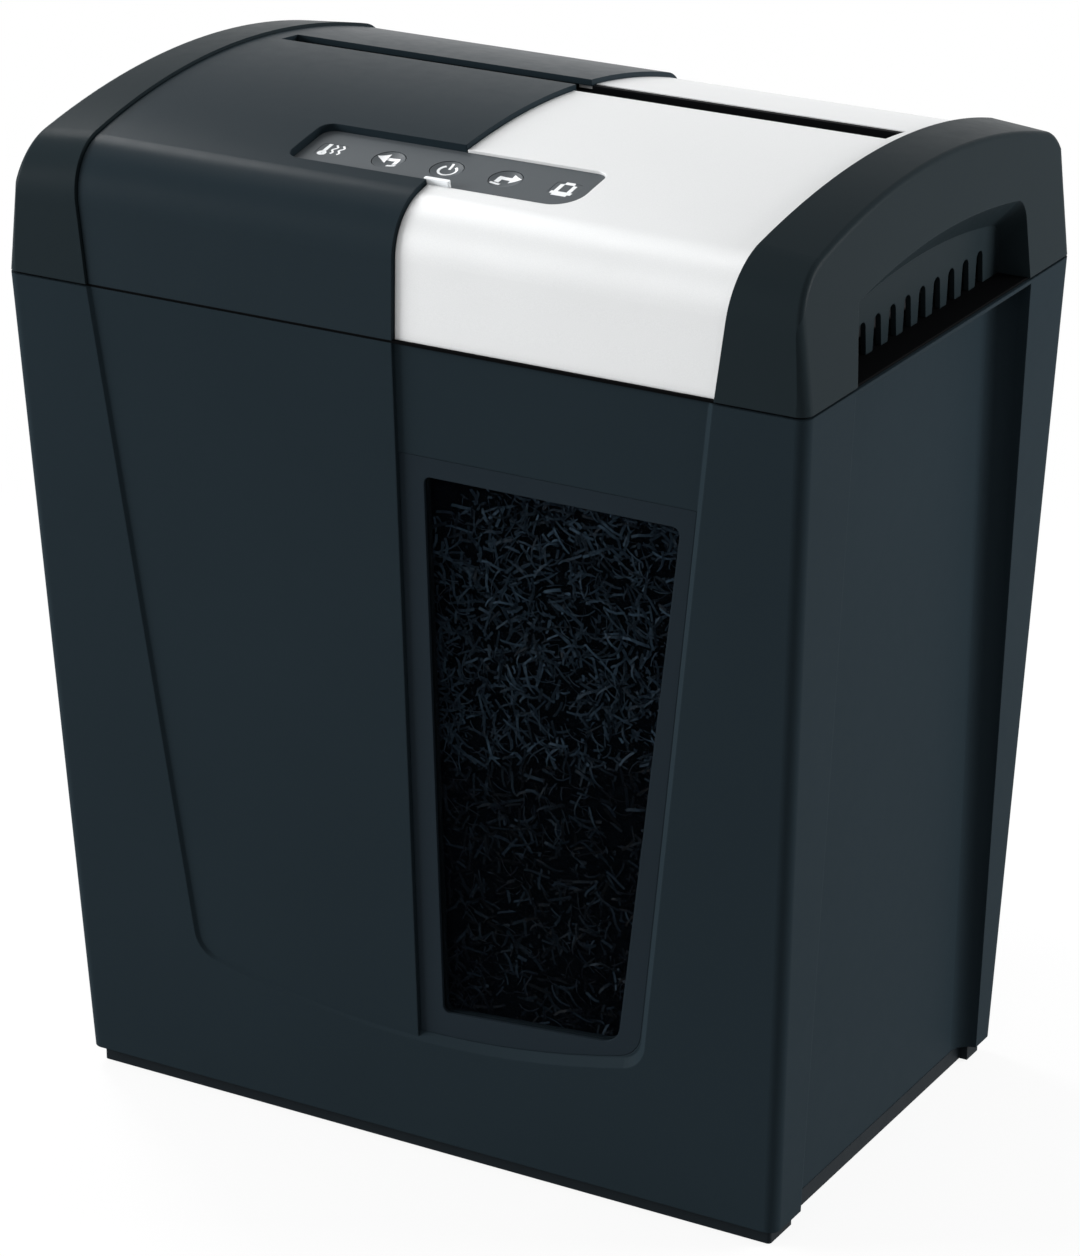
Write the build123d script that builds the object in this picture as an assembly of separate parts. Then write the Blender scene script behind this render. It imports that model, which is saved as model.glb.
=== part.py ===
"""Paper shredder: a tapered waste bin with a window, and a shredding head that lifts off its rim.

Millimetres, +Z up. The origin is the middle of the footprint on the floor, the front faces -Y and
the right side is +X. Angles about X are measured from +Y towards +Z.
"""

import os
from math import atan2, cos, pi, radians, sin, sqrt

from build123d import *

# Overall
half_width = 175.0  # at the parting line
half_depth = 115.2
parting = 350.0
head_height = 68.0  # from the parting line to the highest point, on the end caps' inner edges
parting_gap = 1.0  # height of the groove between bin and head

# Clearances
seat_gap = 0.1  # between curved faces of pieces that are clipped together
slip = 0.3  # between a moving piece and what it passes
running = 0.05  # radial, shaft in a bush and screw in its hole
past = 1.0  # how far a cutting shape runs past the face that it cuts
well_past = 10.0
hole_end_gap = 1.0  # from a screw's tip to the end of its hole

# Bin
bin_foot = 8.0
bin_wall = 3.0
bin_floor = 3.0
bin_corner = 5.0
bin_corner_inside = 1.5
foot_draft_side = 14.0  # how far each side leans in between rim and foot
foot_draft_front = 17.3
foot_draft_rear = 13.5
rim_height = 1.6

# Side channel of the bin, below each hand grip; insets are from the bin's front and rear
channel_front_inset = 39.5
channel_rear_inset = 38.0
channel_rear_inset_foot = 29.0
channel_depth = 14.0
channel_depth_foot = 7.5
channel_radius = 9.0

# Sunk front of the bin inside its U-shaped border
border_width = 38.0  # beside the sunk area, at the parting line
border_width_foot = 71.5  # from the bin's widest point to the sunk area's lower corner
border_low = 52.6  # lowest point, in the middle
border_rise = 14.5  # how much higher its lower corners are
border_corner = 13.0
sink_left = 1.2
sink_right = 3.2
step_x = 0.7  # the step between the two halves

# Window in the right half
frame_drop = 45.0  # below the parting line
frame_thickness = 2.8
lens_thickness = 1.4
lens_lap = 3.5  # how far the lens reaches past the window's edge
window_left = 11.5
window_inset = 15.5  # in from the sunk area's right edge
window_inset_foot = 12.5
window_drop = 8.0  # below the frame's top
window_low = 66.5
window_low_right = 73.0
window_corner = 3.0
window_corner_foot = 9.0
pad_wall = 2.0  # bin wall behind the sunk parts

# Base
skirt_inset = 4.0
skirt_wall = 3.0
base_plate = 2.0
pad_radius = 9.0
pad_seat_radius = 11.0
pad_height = 1.5
pad_proud = 1.0
pad_inset_side = 37.0
pad_inset_front = 37.5
pad_inset_rear = 31.5

# Shredded paper
paper_side_gap = 2.0
paper_floor_gap = 0.5
paper_drop = 46.0  # from the parting line to the top of the heap
paper_dome = 900.0
paper_crust = 5.0

# Head skin
skin = 2.5
crown_radius = 380.0
shoulder_radius = 26.0
rear_radius = 18.0
head_lean = 1.2  # draft of the front face
side_slope = 0.11  # inward lean of the end caps' sides, per mm of height
cap_slope = 0.09  # fall of the end caps' tops towards their outer edges
cap_edge_radius = 2.4
seam_slope = 0.125  # lean of the seam between end cap and panel
seam_gap = 0.6
black_setback = 1.2
silver_setback = 3.2
tongue_reach = 5.0
tongue_wall = 2.0
divide_gap = 0.4
divide_reach = 8.0
boss_radius = 4.0
boss_inset_side = 11.5
boss_inset_end = 16.5
boss_screw = 12.0

# Hand grip
grip_front_inset = 40.5
grip_rear_inset = 39.0
grip_front_lean = 0.19  # rearward lean of its front edge, per mm of height
grip_depth = 14.0
grip_height = 42.6  # from the parting line to the top of its arch
grip_arch_radius = 352.0
grip_arch_y = 6.0  # where its arch is highest
grip_scoop = 1.1  # fall of the grip's roof per mm of depth
grip_corner = 7.0
grip_wall = 2.2
vent_count = 9
vent_front_inset = 31.3  # from the grip's front to the first slot
vent_rear_inset = 17.6
vent_height = 14.0
vent_width = 5.5
vent_width_foot = 7.5

# Paper slot and throat
slot_end_gap = 0.5  # from the seam's foot to the slot's end
slot_span = (25.2, 37.6)  # Y of its front and rear edge
slot_span_silver = (22.8, 41.0)  # in the silver half, where the throat's lips show
throat_gap = 5.0
throat_height = 24.0  # of its narrow part, above the cutters
throat_wall = 2.0
collar_depth = 5.0
collar_floor = 1.5
lip_sink = 0.4
sensor_size = (10.0, 9.0, 10.0)
sensor_lift = 8.0  # above the throat's foot

# Control strip, sunk in a plane that follows the crown; depths are below that plane
strip_left = -62.0
strip_right = 63.0
strip_front_inset = 27.0
strip_width = 29.5
strip_sink = 3.3
strip_flange_sink = 5.1
strip_underside = 6.6
strip_flange = 3.0
strip_corner = 5.5
strip_corner_front = 12.0
strip_rim = 1.8
strip_rim_start = 0.8
icon_pitch = 25.6
button_radius = 6.5
button_sink = 3.5
button_lip = 1.5
button_lip_height = 1.0
button_travel = 0.8
dimple_radius = 22.0
dimple_depth = 0.9
stem_radius = 1.7
stem_height = 3.4
switch_side = 6.2
switch_height = 3.5
switch_gap = 0.4  # from a pressed button to its switch
board_thickness = 1.6
control_board_size = (112.0, 26.0)
control_board_screw = 4.0  # length in its post
board_post_radius = 2.6
indicator_size = (11.0, 9.0)
indicator_corner = 1.5
light_bar_size = (11.0, 1.8)
light_bar_corner = 0.7
light_bar_place = (4.5, -13.4)
light_bar_sink = 0.4  # from the strip's plane to its top

# Head tray
tray_gap_side = 2.5  # to the walls of the bin's channels
tray_gap_end = 6.0  # to the bin's front and rear walls
tray_drop = 28.0  # below the parting line
tray_wall = 2.5
tray_corner = 6.0
flange_inset = 1.5
flange_step = 2.0
outlet_gap = 1.5  # from the side plates to the outlet's ends
outlet_span = (-7.0, 74.0)

# Bin interlock
plunger_x = -70.0
plunger_inset = 6.9
plunger_radius = 1.5
plunger_height = 13.5
plunger_gap = 0.3
plunger_bore = 8.75  # depth of its bore in the switch
interlock_switch_size = (20.0, 6.0, 13.5)
rib_drop = 3.9
rib_width = 8.0
rib_reach = 5.0
rib_height = 16.0

# Cutting block
gearbox_room = 35.5  # from a side plate's inner face to the tray's wall
plate_thickness = 3.0
plate_lift = 5.5  # above the tray's floor
plate_height = 68.0
plate_rear_gap = 4.0
plate_shoulder = (80.0, 30.0)  # Y, and height above the plate's foot
plate_chamfer = 6.0
left_plate_front = -24.0
right_plate_inset = 40.5
ear_height = 16.0
foot_length = 14.0
foot_reach = 14.0
foot_thickness = 2.0
foot_post_radius = 5.0
foot_screw = 5.0
cutter_y = (16.0, 50.0)
cutter_height = 28.0  # above the plates' feet
disc_pitch = 12.0
disc_radius = 18.0
disc_core = 12.0
disc_teeth = 9
hook_depth = 2.6
hook_share = 0.16  # part of a tooth's pitch that its hook takes
disc_turns = 4  # discs after which the pattern repeats
journal_radius = 6.0
shaft_end = 1.0  # how far a shaft stands out of its gear
bush_radius = 9.0
bush_flange = 1.0
bush_flange_radius = 11.0
tie_radius = 4.0
tie_tenon = 2.5
tie_heights = ((-6.0, 6.0), (72.0, 6.0), (-2.0, 61.0), (70.0, 59.0))  # Y, and height above the plates' feet
comb_wall = 3.0
comb_gap = 0.4
comb_half_height = 18.0
finger_half_height = 12.0

# Gear train, each gear as teeth, module, and near and far face from its side plate
backlash = 0.16  # tooth thickness left out, in modules
gear_addendum = 0.9  # in modules
gear_dedendum = 1.2
flank_slope = 0.36
root_share = 0.78  # widest tooth at its root, as a share of the pitch
sync_size = (17, 2.0, 3.5, 12.0)
drive_size = (40, 1.5, 2.5, 11.5)
second_pinion_size = (12, 1.5, 2.0, 12.5)
second_wheel_size = (32, 1.25, 12.5, 19.5)
first_pinion_size = (10, 1.25, 12.0, 21.0)
first_wheel_size = (42, 1.0, 21.0, 27.5)
motor_pinion_size = (10, 1.0, 20.0, 28.5)
second_angle = 140  # direction in degrees from the rear cutter to the second gear
first_angle = 188  # from the second gear to the first
motor_angle = 183  # from the first gear to the motor
pin_radius = 2.5
motor_hole_gap = 2.0  # round the motor's shaft where it passes the side plate
gear_plate_gap = 30.0  # from the side plate
gear_plate_thickness = 1.5
spacer_radius = 3.0
spacer_heights = ((-45.0, 15.0), (-48.0, 62.0), (44.0, 63.0), (10.0, 15.0))  # as for the tie bars

# Motor
motor_radius = 25.0
motor_wall = 2.0
motor_length = 95.5
motor_cover = 6.0
bell_thickness = 7.0
armature_radius = 20.0
armature_start = 16.0  # from the motor's left end
armature_length = 60.0
rotor_radius = 2.5
fan_radius = 21.0
fan_hub = 6.0
fan_start = -19.0
fan_width = 9.0
fan_blades = 8
blade_thickness = 1.6
motor_screw_reach = 17.0
cutout_size = (16.0, 12.0, 7.0)

# Power board and cord gland
power_board_size = (110.0, 62.0)
power_board_inset = (25.0, 4.0)  # from the pan's front left corner
power_board_lift = 4.5
power_board_screw = 3.0  # length in its post
power_post_radius = 3.6
board_post_inset = 5.0
transformer_size = (30.0, 26.0, 22.0)
relay_size = (20.0, 16.0, 15.0)
capacitor_radius = 6.0
capacitor_height = 20.0
parts_gap = 6.0  # between the parts on the board
gland_x = -105.0
gland_height = 16.0  # above the parting line
gland_radius = 6.0
gland_bore = 3.6
gland_flange = (8.5, 1.1)
gland_length = 12.0
gland_nut = 4.0

# Screws
screw_radius = 2.0
screw_head_radius = 3.6
screw_head_height = 2.2

# Worked out from the sizes above
rim_top = parting - parting_gap / 2
head_foot = parting + parting_gap / 2
head_crown = parting + head_height
bin_height = rim_top - bin_foot
front_lean = atan2(foot_draft_front, bin_height)
channel_front = channel_front_inset - half_depth
channel_rear = half_depth - channel_rear_inset
channel_rear_foot = half_depth - channel_rear_inset_foot
border_top = half_width - border_width
border_foot = half_width - border_width_foot
frame_top = parting - frame_drop
window_right = border_top - window_inset
window_right_foot = border_foot - window_inset_foot
window_high = frame_top - window_drop
pad_x = half_width - pad_inset_side
pad_y = (pad_inset_front - half_depth, half_depth - pad_inset_rear)
pad_places = [(x, y) for y in pad_y for x in (-pad_x, pad_x)]
paper_peak = parting - paper_drop
boss_x = half_width - boss_inset_side
boss_y = half_depth - boss_inset_end
grip_front = grip_front_inset - half_depth
grip_rear = half_depth - grip_rear_inset
grip_arch = parting + grip_height
vent_first = grip_front + vent_front_inset
vent_pitch = (grip_rear - vent_rear_inset - vent_first) / (vent_count - 1)
vent_top = parting + vent_height
slot_half = border_top - slot_end_gap
strip_front = strip_front_inset - half_depth
strip_rear = strip_front + strip_width
tray_half_x = half_width - channel_depth - bin_wall - tray_gap_side
tray_half_y = half_depth - bin_wall - tray_gap_end
tray_foot = parting - tray_drop
plunger_place = (plunger_x, half_depth - plunger_inset)
plate_x = tray_half_x - tray_wall - gearbox_room
plate_outer = plate_x + plate_thickness
plate_foot = tray_foot + tray_wall + plate_lift
plate_top = plate_foot + plate_height
plate_rear = tray_half_y - tray_wall - plate_rear_gap
right_plate_front = right_plate_inset - tray_half_y
outlet_half = plate_x - outlet_gap
cutter_z = plate_foot + cutter_height
disc_count = 2 * int((plate_x - 2 * bush_flange) / disc_pitch)
tie_places = [(y, plate_foot + height) for y, height in tie_heights]
spacer_places = [(y, plate_foot + height) for y, height in spacer_heights]
throat_foot = cutter_z + disc_radius
throat_taper_foot = throat_foot + throat_height
sensor_foot = throat_foot + sensor_lift
shaft_left = plate_outer + sync_size[3] + shaft_end
gear_plate_x = plate_outer + gear_plate_gap
motor_left = plate_x - motor_length
armature_left = motor_left + armature_start
armature_span = (armature_left, armature_left + armature_length)
fan_span = (motor_left + fan_start, motor_left + fan_start + fan_width)
board_left = tray_wall + power_board_inset[0] - tray_half_x
board_front = tray_wall + power_board_inset[1] - tray_half_y
power_board_span = (
    (board_left, board_left + power_board_size[0]),
    (board_front, board_front + power_board_size[1]),
)
gland_place = (gland_x, parting + gland_height)


# Helpers

def block(x, y, z):
    """Box over three (low, high) spans."""
    spans = (x, y, z)
    middle = [(low + high) / 2 for low, high in spans]
    return Pos(*middle) * Box(*[high - low for low, high in spans])


def along_x(face, span):
    """A face drawn in Y and Z, made solid over a span of X."""
    return extrude(Plane.YZ.offset(span[0]) * face, span[1] - span[0])


def along_y(face, span):
    """A face drawn in X and Z, made solid over a span of Y."""
    return extrude(Plane.XZ.offset(-span[1]) * face, span[1] - span[0])


def along_z(face, span):
    """A face drawn in X and Y, made solid over a span of Z."""
    return extrude(Plane.XY.offset(span[0]) * face, span[1] - span[0])


def rod(centre, radius, span):
    """Round bar along X about a (y, z) centre."""
    return along_x(Pos(*centre) * Circle(radius), span)


def post(centre, radius, span):
    """Round bar along Z about an (x, y) centre."""
    return along_z(Pos(*centre) * Circle(radius), span)


def polygon(*points):
    """Face inside straight edges from point to point."""
    return make_face(Polyline(*points, close=True))


def mirrored(piece):
    """The piece's twin on the other side of the middle."""
    return mirror(piece, about=Plane.YZ)


def rounded(face, corners):
    """Face with its corners at the given (x, y) places rounded to the given radii."""
    for place, radius in corners:
        nearest = face.vertices().sort_by_distance((*place, 0))[0]
        face = fillet(nearest, radius)
    return face


def screws(heads, length, direction=(0, 0, -1)):
    """A set of screws with their heads' seats at the given places and shanks along a direction."""
    group = []
    for place in heads:
        seat = Plane(origin=place, z_dir=direction)
        shank = extrude(seat * Circle(screw_radius), length)
        head = extrude(seat * Circle(screw_head_radius), -screw_head_height)
        group.append(shank + head)
    return group


def screw_hole(place, length, direction=(0, 0, -1)):
    """The hole that a screw of the set passes or enters."""
    return extrude(Plane(origin=place, z_dir=direction) * Circle(screw_radius + running), length)


# Bin

def bin_half_width(z):
    """Outer half width of the bin at a height."""
    return half_width - foot_draft_side * (rim_top - z) / bin_height


def bin_front(z):
    """Y of the bin's front border at a height."""
    return -half_depth + foot_draft_front * (rim_top - z) / bin_height


def bin_rear(z):
    """Y of the bin's rear at a height."""
    return half_depth - foot_draft_rear * (rim_top - z) / bin_height


def bin_section(z, inset=0.0):
    """Plan of the bin at a height, set in from its outer faces."""
    front, rear = bin_front(z) + inset, bin_rear(z) - inset
    corner = max(bin_corner - inset, bin_corner_inside)
    plan = RectangleRounded(2 * (bin_half_width(z) - inset), rear - front, corner)
    return Pos(0, (front + rear) / 2, z) * plan


def tapered_bin(low, high, inset=0.0):
    """The bin's tapered form between two heights."""
    return loft([bin_section(low, inset), bin_section(high, inset)], ruled=True)


def channel(grow=0.0):
    """Space of the right side channel, or that space with a wall round it."""
    top = rim_top - rim_height + grow
    sections = []
    for z, depth, rear in (
        (0.0, channel_depth_foot, channel_rear_foot),
        (top, channel_depth, channel_rear),
    ):
        inner = bin_half_width(z) - depth - grow
        outer = half_width + 3 * channel_radius
        front = channel_front - grow
        plan = RectangleRounded(outer - inner, rear + grow - front, channel_radius + grow)
        sections.append(Pos((inner + outer) / 2, (front + rear + grow) / 2, z) * plan)
    return loft(sections, ruled=True)


def front_plane(depth=0.0):
    """Plane of the bin's front border, sunk by a depth, with +X to the right and +Y up the slope."""
    normal = Vector(0, -cos(front_lean), -sin(front_lean))
    top = Vector(0, -half_depth, rim_top)
    return Plane(origin=top - normal * depth, x_dir=(1, 0, 0), z_dir=normal)


def front_height(z):
    """Height z as a distance down the front plane from the rim."""
    return (z - rim_top) / cos(front_lean)


def border_outline(inset=0.0):
    """Outline of the sunk area inside the U-shaped border, on the front plane."""
    low = front_height(border_low) + inset
    corner = low + border_rise
    top = border_rise
    top_x = border_top - inset + (border_top - border_foot) * top / -corner
    foot_x = border_foot - inset
    edges = [
        Line((-top_x, top), (-foot_x, corner)),
        ThreePointArc((-foot_x, corner), (0, low), (foot_x, corner)),
        Line((foot_x, corner), (top_x, top)),
        Line((top_x, top), (-top_x, top)),
    ]
    corners = [((side * foot_x, corner), border_corner) for side in (-1, 1)]
    return rounded(make_face(edges), corners)


def right_of(face, x, top=None):
    """The part of a face on the front plane right of x, and below a height if one is given."""
    high = border_rise if top is None else front_height(top)
    return face & Pos(x + half_width, high - parting) * Rectangle(2 * half_width, 2 * parting)


def sunk(face, start, depth, taper=0.0):
    """A face on the front plane, made solid from one depth inwards over another."""
    return extrude(front_plane(start) * face, -depth, taper=taper)


def window_outline(grow=0.0):
    """Outline of the window's opening on the front plane."""
    left, right, right_foot = window_left - grow, window_right + grow, window_right_foot + grow
    high = front_height(window_high) + grow
    low, low_right = front_height(window_low) - grow, front_height(window_low_right) - grow
    points = [(left, high), (right, high), (right_foot, low_right), (left, low)]
    radii = (window_corner, window_corner, window_corner_foot, window_corner)
    return rounded(polygon(*points), zip(points, [radius + grow for radius in radii]))


def frame_outline(inset=0.0):
    """Outline of the panel round the window, on the front plane."""
    whole = border_outline(sink_right + inset)
    return right_of(whole, step_x + inset, frame_top - inset)


def bin_shell():
    """Tapered bin with side channels, sunk front, window opening and rim."""
    pad = sink_right + pad_wall
    frame_depth = pad + frame_thickness
    sides = channel(bin_wall)
    inside = tapered_bin(bin_foot + bin_floor, rim_top + past, bin_wall)
    inside -= [sides, mirrored(sides)]
    inside -= sunk(right_of(border_outline(sink_right - bin_wall), step_x - bin_wall), 0, pad)
    inside -= sunk(frame_outline(-bin_wall), 0, frame_depth)
    shell = tapered_bin(bin_foot, rim_top) - inside
    shell -= [channel(), mirrored(channel())]
    hollow = sunk(border_outline(), 0, sink_right, taper=45)
    shell -= hollow & sunk(Rectangle(2 * half_width, 3 * parting), -pad, pad + sink_left)
    shell -= hollow & block((step_x, half_width), (-2 * half_depth, 0), (0, 2 * parting))
    shell -= sunk(frame_outline(), sink_right, frame_thickness)
    shell -= sunk(window_outline(), 0, frame_depth + pad)
    return shell + interlock_rib()


def interlock_rib():
    """Rib inside the bin's rear wall that pushes the head's interlock plunger."""
    top = rim_top - rib_drop
    back = bin_rear(top) - bin_wall
    x = plunger_place[0]
    y = (back - rib_reach, back + bin_wall / 2)
    return block((x - rib_width / 2, x + rib_width / 2), y, (top - rib_height, top))


def window_frame():
    """Panel round the window, with a rebate at its back for the lens."""
    frame = sunk(frame_outline(seat_gap), sink_right, frame_thickness)
    frame -= sunk(window_outline(), 0, 3 * frame_thickness)
    rebate = sink_right + frame_thickness - lens_thickness
    return frame - sunk(window_outline(lens_lap), rebate, 2 * lens_thickness)


def window_lens():
    """Flat lens held between the window frame and the bin's wall."""
    rebate = sink_right + frame_thickness - lens_thickness
    return sunk(window_outline(lens_lap - seat_gap), rebate, lens_thickness)


def skirt_plan(inset=0.0):
    """Plan of the base, which follows the foot of the bin and its side channels."""
    plan = Pos(0, 0, -bin_foot) * bin_section(bin_foot, skirt_inset + inset)
    inner = bin_half_width(bin_foot) - channel_depth_foot - inset
    front, rear = channel_front - inset, channel_rear_foot + inset
    notch = Pos(inner + half_width / 2, (front + rear) / 2) * Rectangle(half_width, rear - front)
    return plan - [notch, mirrored(notch)]


def base_skirt():
    """Base under the bin: a plate with a rim all round and a seat for each rubber foot."""
    base = along_z(skirt_plan(), (pad_proud, bin_foot))
    base -= along_z(skirt_plan(skirt_wall), (0, bin_foot - base_plate))
    return base + [post(place, pad_seat_radius, (pad_height, bin_foot)) for place in pad_places]


def rubber_feet():
    """Round rubber pads under the base."""
    return [post(place, pad_radius, (0, pad_height)) for place in pad_places]


def paper_bulk(depth=0.0):
    """The space that the shreds fill in the bin, or that space inside a crust of a depth."""
    inset = bin_wall + paper_side_gap + depth
    low = bin_foot + bin_floor + paper_floor_gap
    dome = Pos(0, 0, paper_peak - depth - paper_dome) * Sphere(paper_dome)
    sides = channel(inset)
    behind = sink_right + pad_wall + frame_thickness + paper_side_gap + depth
    bulk = tapered_bin(low, paper_peak + past, inset) & dome
    return bulk - [sides, mirrored(sides), sunk(frame_outline(-inset), 0, behind)]


def shredded_paper():
    """Heap of shreds, as a crust that is open below, as heavy as the loose shreds it stands for."""
    return paper_bulk() - paper_bulk(paper_crust)


# Head covers

def crown_height(y, setback=0.0):
    """Height of the head's top over a place, for a skin set back from the outermost one."""
    return head_crown - crown_radius + sqrt((crown_radius - setback) ** 2 - y**2)


def head_outline(setback=0.0, drop=0.0, foot=head_foot):
    """Side outline of the head, set back from its outermost skin, with its crown lowered."""
    front, rear = setback - half_depth, half_depth - setback
    lean = front + head_lean
    front_top = (lean, crown_height(lean, setback) - drop)
    rear_top = (rear, crown_height(rear, setback) - drop)
    front_foot = (front - head_lean * (head_foot - foot) / (front_top[1] - head_foot), foot)
    edges = [
        Line(front_foot, front_top),
        ThreePointArc(front_top, (0, head_crown - setback - drop), rear_top),
        Line(rear_top, (rear, foot)),
        Line((rear, foot), front_foot),
    ]
    corners = [(front_top, shoulder_radius - setback), (rear_top, rear_radius - setback)]
    return rounded(make_face(edges), corners)


def skin_ring(outer, inner, span):
    """Skin between two setbacks over a span of X, open below."""
    return along_x(head_outline(outer), span) - along_x(head_outline(inner, foot=head_foot - past), span)


def seam_x(z):
    """X of the right seam between end cap and panel."""
    return border_top + (z - head_foot) * seam_slope


def between_x(left, right):
    """Everything between two slanted borders, each given as a function of height."""
    low, high = head_foot - well_past, head_crown + well_past
    corners = [(left(low), low), (right(low), low), (right(high), high), (left(high), high)]
    return along_y(polygon(*corners), (-half_depth - well_past, half_depth + well_past))


def beside_seam(start, end):
    """Slab along the right seam between two distances from it, outwards positive."""
    return between_x(lambda z: seam_x(z) + start, lambda z: seam_x(z) + end)


def cap_form(setback=0.0, foot=head_foot):
    """Form of the right end cap, or of the space inside it when set back."""
    near, far = border_top - well_past, half_width + well_past
    sections = [
        Plane.YZ.offset(x) * head_outline(setback, (x - seam_x(head_crown)) * cap_slope, foot)
        for x in (near, far)
    ]
    side = lambda z: half_width - setback - (z - head_foot) * side_slope
    return loft(sections, ruled=True) & between_x(lambda z: near, side)


def cap_plan(z):
    """Outer plan of both end caps at a height, with the bin's rounded upright corners."""
    width = 2 * (half_width - (z - head_foot) * side_slope)
    return Pos(0, 0, z) * RectangleRounded(width, 2 * half_depth, bin_corner)


def cap_outside():
    """The end cap's outer form with its outer edge and upright corners rounded."""
    form = cap_form()
    side = form.faces().sort_by(Axis.X)[-1]
    edges = [edge for edge in side.edges() if edge.center().Z > head_foot + past]
    upright = loft([cap_plan(head_foot - past), cap_plan(head_crown + past)], ruled=True)
    return fillet(edges, cap_edge_radius) & upright


def grip(grow=0.0):
    """Space of the right hand grip, or that space with its walls."""
    low, high = head_foot - well_past, grip_arch + well_past
    lean = grip_front_lean
    outline = polygon(
        (grip_front - grow + (low - head_foot) * lean, low),
        (grip_rear + grow, low),
        (grip_rear + grow, high),
        (grip_front - grow + (high - head_foot) * lean, high),
    )
    inner, outer = half_width - grip_depth - grow, half_width + past
    middle, half = grip_arch_y, grip_rear - grip_front
    front, rear = middle - half, middle + half
    arch_fall = grip_arch_radius - sqrt(grip_arch_radius**2 - half**2)
    below = low - half
    sections = []
    for x in (inner, outer):
        peak = grip_arch + grow - (half_width - x) * grip_scoop
        arch = [
            ThreePointArc((front, peak - arch_fall), (middle, peak), (rear, peak - arch_fall)),
            Line((rear, peak - arch_fall), (rear, below)),
            Line((rear, below), (front, below)),
            Line((front, below), (front, peak - arch_fall)),
        ]
        sections.append(Plane.YZ.offset(x) * make_face(arch))
    space = along_x(outline, (inner, outer)) & loft(sections, ruled=True)
    rear_wall = space.faces().sort_by(Axis.Y)[-1]
    return fillet(rear_wall.edges().sort_by(Axis.Z)[-1], grip_corner + grow)


def vents():
    """Row of upright slots, wider towards their open feet, through the right grip's inner wall."""
    wall = (half_width - grip_depth - 3 * grip_wall, half_width - grip_depth + past)
    slots = []
    for number in range(vent_count):
        y = vent_first + number * vent_pitch
        shoulder, foot = vent_top - vent_width / 2, head_foot - past
        edges = [
            ThreePointArc((y - vent_width / 2, shoulder), (y, vent_top), (y + vent_width / 2, shoulder)),
            Line((y + vent_width / 2, shoulder), (y + vent_width_foot / 2, foot)),
            Line((y + vent_width_foot / 2, foot), (y - vent_width_foot / 2, foot)),
            Line((y - vent_width_foot / 2, foot), (y - vent_width / 2, shoulder)),
        ]
        slots.append(along_x(make_face(edges), wall))
    return slots


def end_cap(panel_setback):
    """Right end cap with hand grip, vents, screw bosses and a tongue under its neighbour's edge."""
    edge = seam_gap / 2
    tongue = panel_setback + skin + seat_gap
    deep = tongue + tongue_wall
    reach = (border_top - 3 * tongue_reach, half_width)
    cap = cap_outside() - cap_form(skin, head_foot - past)
    cap &= beside_seam(edge, half_width)
    lip = skin_ring(skin / 2, deep, reach) & beside_seam(edge, edge + tongue_wall)
    lip += skin_ring(tongue, deep, reach) & beside_seam(-tongue_reach, edge + tongue_wall)
    whole = (-half_width, half_width)
    cap += lip - block(whole, whole, (head_foot - past, head_foot + flange_step + seat_gap))
    boss_span = (head_foot + flange_step, head_crown)
    bosses = [post((boss_x, y), boss_radius, boss_span) for y in (-boss_y, boss_y)]
    cap += [boss & cap_form(skin / 2) for boss in bosses]
    cap += grip(grip_wall) & cap_form()
    cap -= [screw_hole((boss_x, y, rim_top), boss_screw, (0, 0, 1)) for y in (-boss_y, boss_y)]
    return cap - [grip(), *vents()]


def left_end_cap():
    """Mirror image of the right end cap, with its tongue under the black panel."""
    return mirrored(end_cap(black_setback))


def right_end_cap():
    """End cap beside the silver panel."""
    return end_cap(silver_setback)


def strip_plane(depth=0.0):
    """Plane of the control strip, tangent to the black panel, with +Y towards the rear."""
    y = (strip_front + strip_rear) / 2
    z = crown_height(y, black_setback)
    normal = Vector(0, y, z - head_crown + crown_radius).normalized()
    return Plane(origin=Vector(0, y, z) - normal * depth, x_dir=(1, 0, 0), z_dir=normal)


def strip_outline(grow=0.0):
    """Outline of the control strip, with one large front corner, on its plane."""
    half = (strip_rear - strip_front) / 2 / strip_plane().z_dir.Z + grow
    left, right = strip_left - grow, strip_right + grow
    corners = [(left, -half), (right, -half), (right, half), (left, half)]
    radii = [strip_corner + grow, strip_corner_front + grow, strip_corner + grow, strip_corner + grow]
    return rounded(polygon(*corners), zip(corners, radii))


def under_strip(face, start, end):
    """A face on the control strip's plane, made solid between two depths below it."""
    return extrude(strip_plane(start) * face, start - end)


def strip_opening():
    """The opening for the control strip through both panels."""
    return under_strip(strip_outline(), -shoulder_radius, strip_underside + past)


def slot_opening(x, y):
    """The paper slot over spans of X and Y."""
    return block(x, y, (throat_taper_foot, head_crown))


def black_top_panel():
    """Left half of the cover, from the front over the top to the rear, with a rim round the strip."""
    left_edge, right_edge = lambda z: -seam_x(z) + seam_gap / 2, lambda z: step_x
    bounds = between_x(left_edge, right_edge)
    panel = skin_ring(black_setback, black_setback + skin, (-half_width, half_width)) & bounds
    rim = under_strip(strip_outline(strip_rim), strip_rim_start, strip_flange_sink - seat_gap)
    panel += rim & block((-half_width, step_x), (-half_depth, 0), (head_foot, head_crown))
    panel -= [strip_opening(), slot_opening((-slot_half, half_width), slot_span)]
    rear = (half_depth - rear_radius, half_depth + past)
    return panel - along_y(Pos(*gland_place) * Circle(gland_radius + seat_gap), rear)


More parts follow.
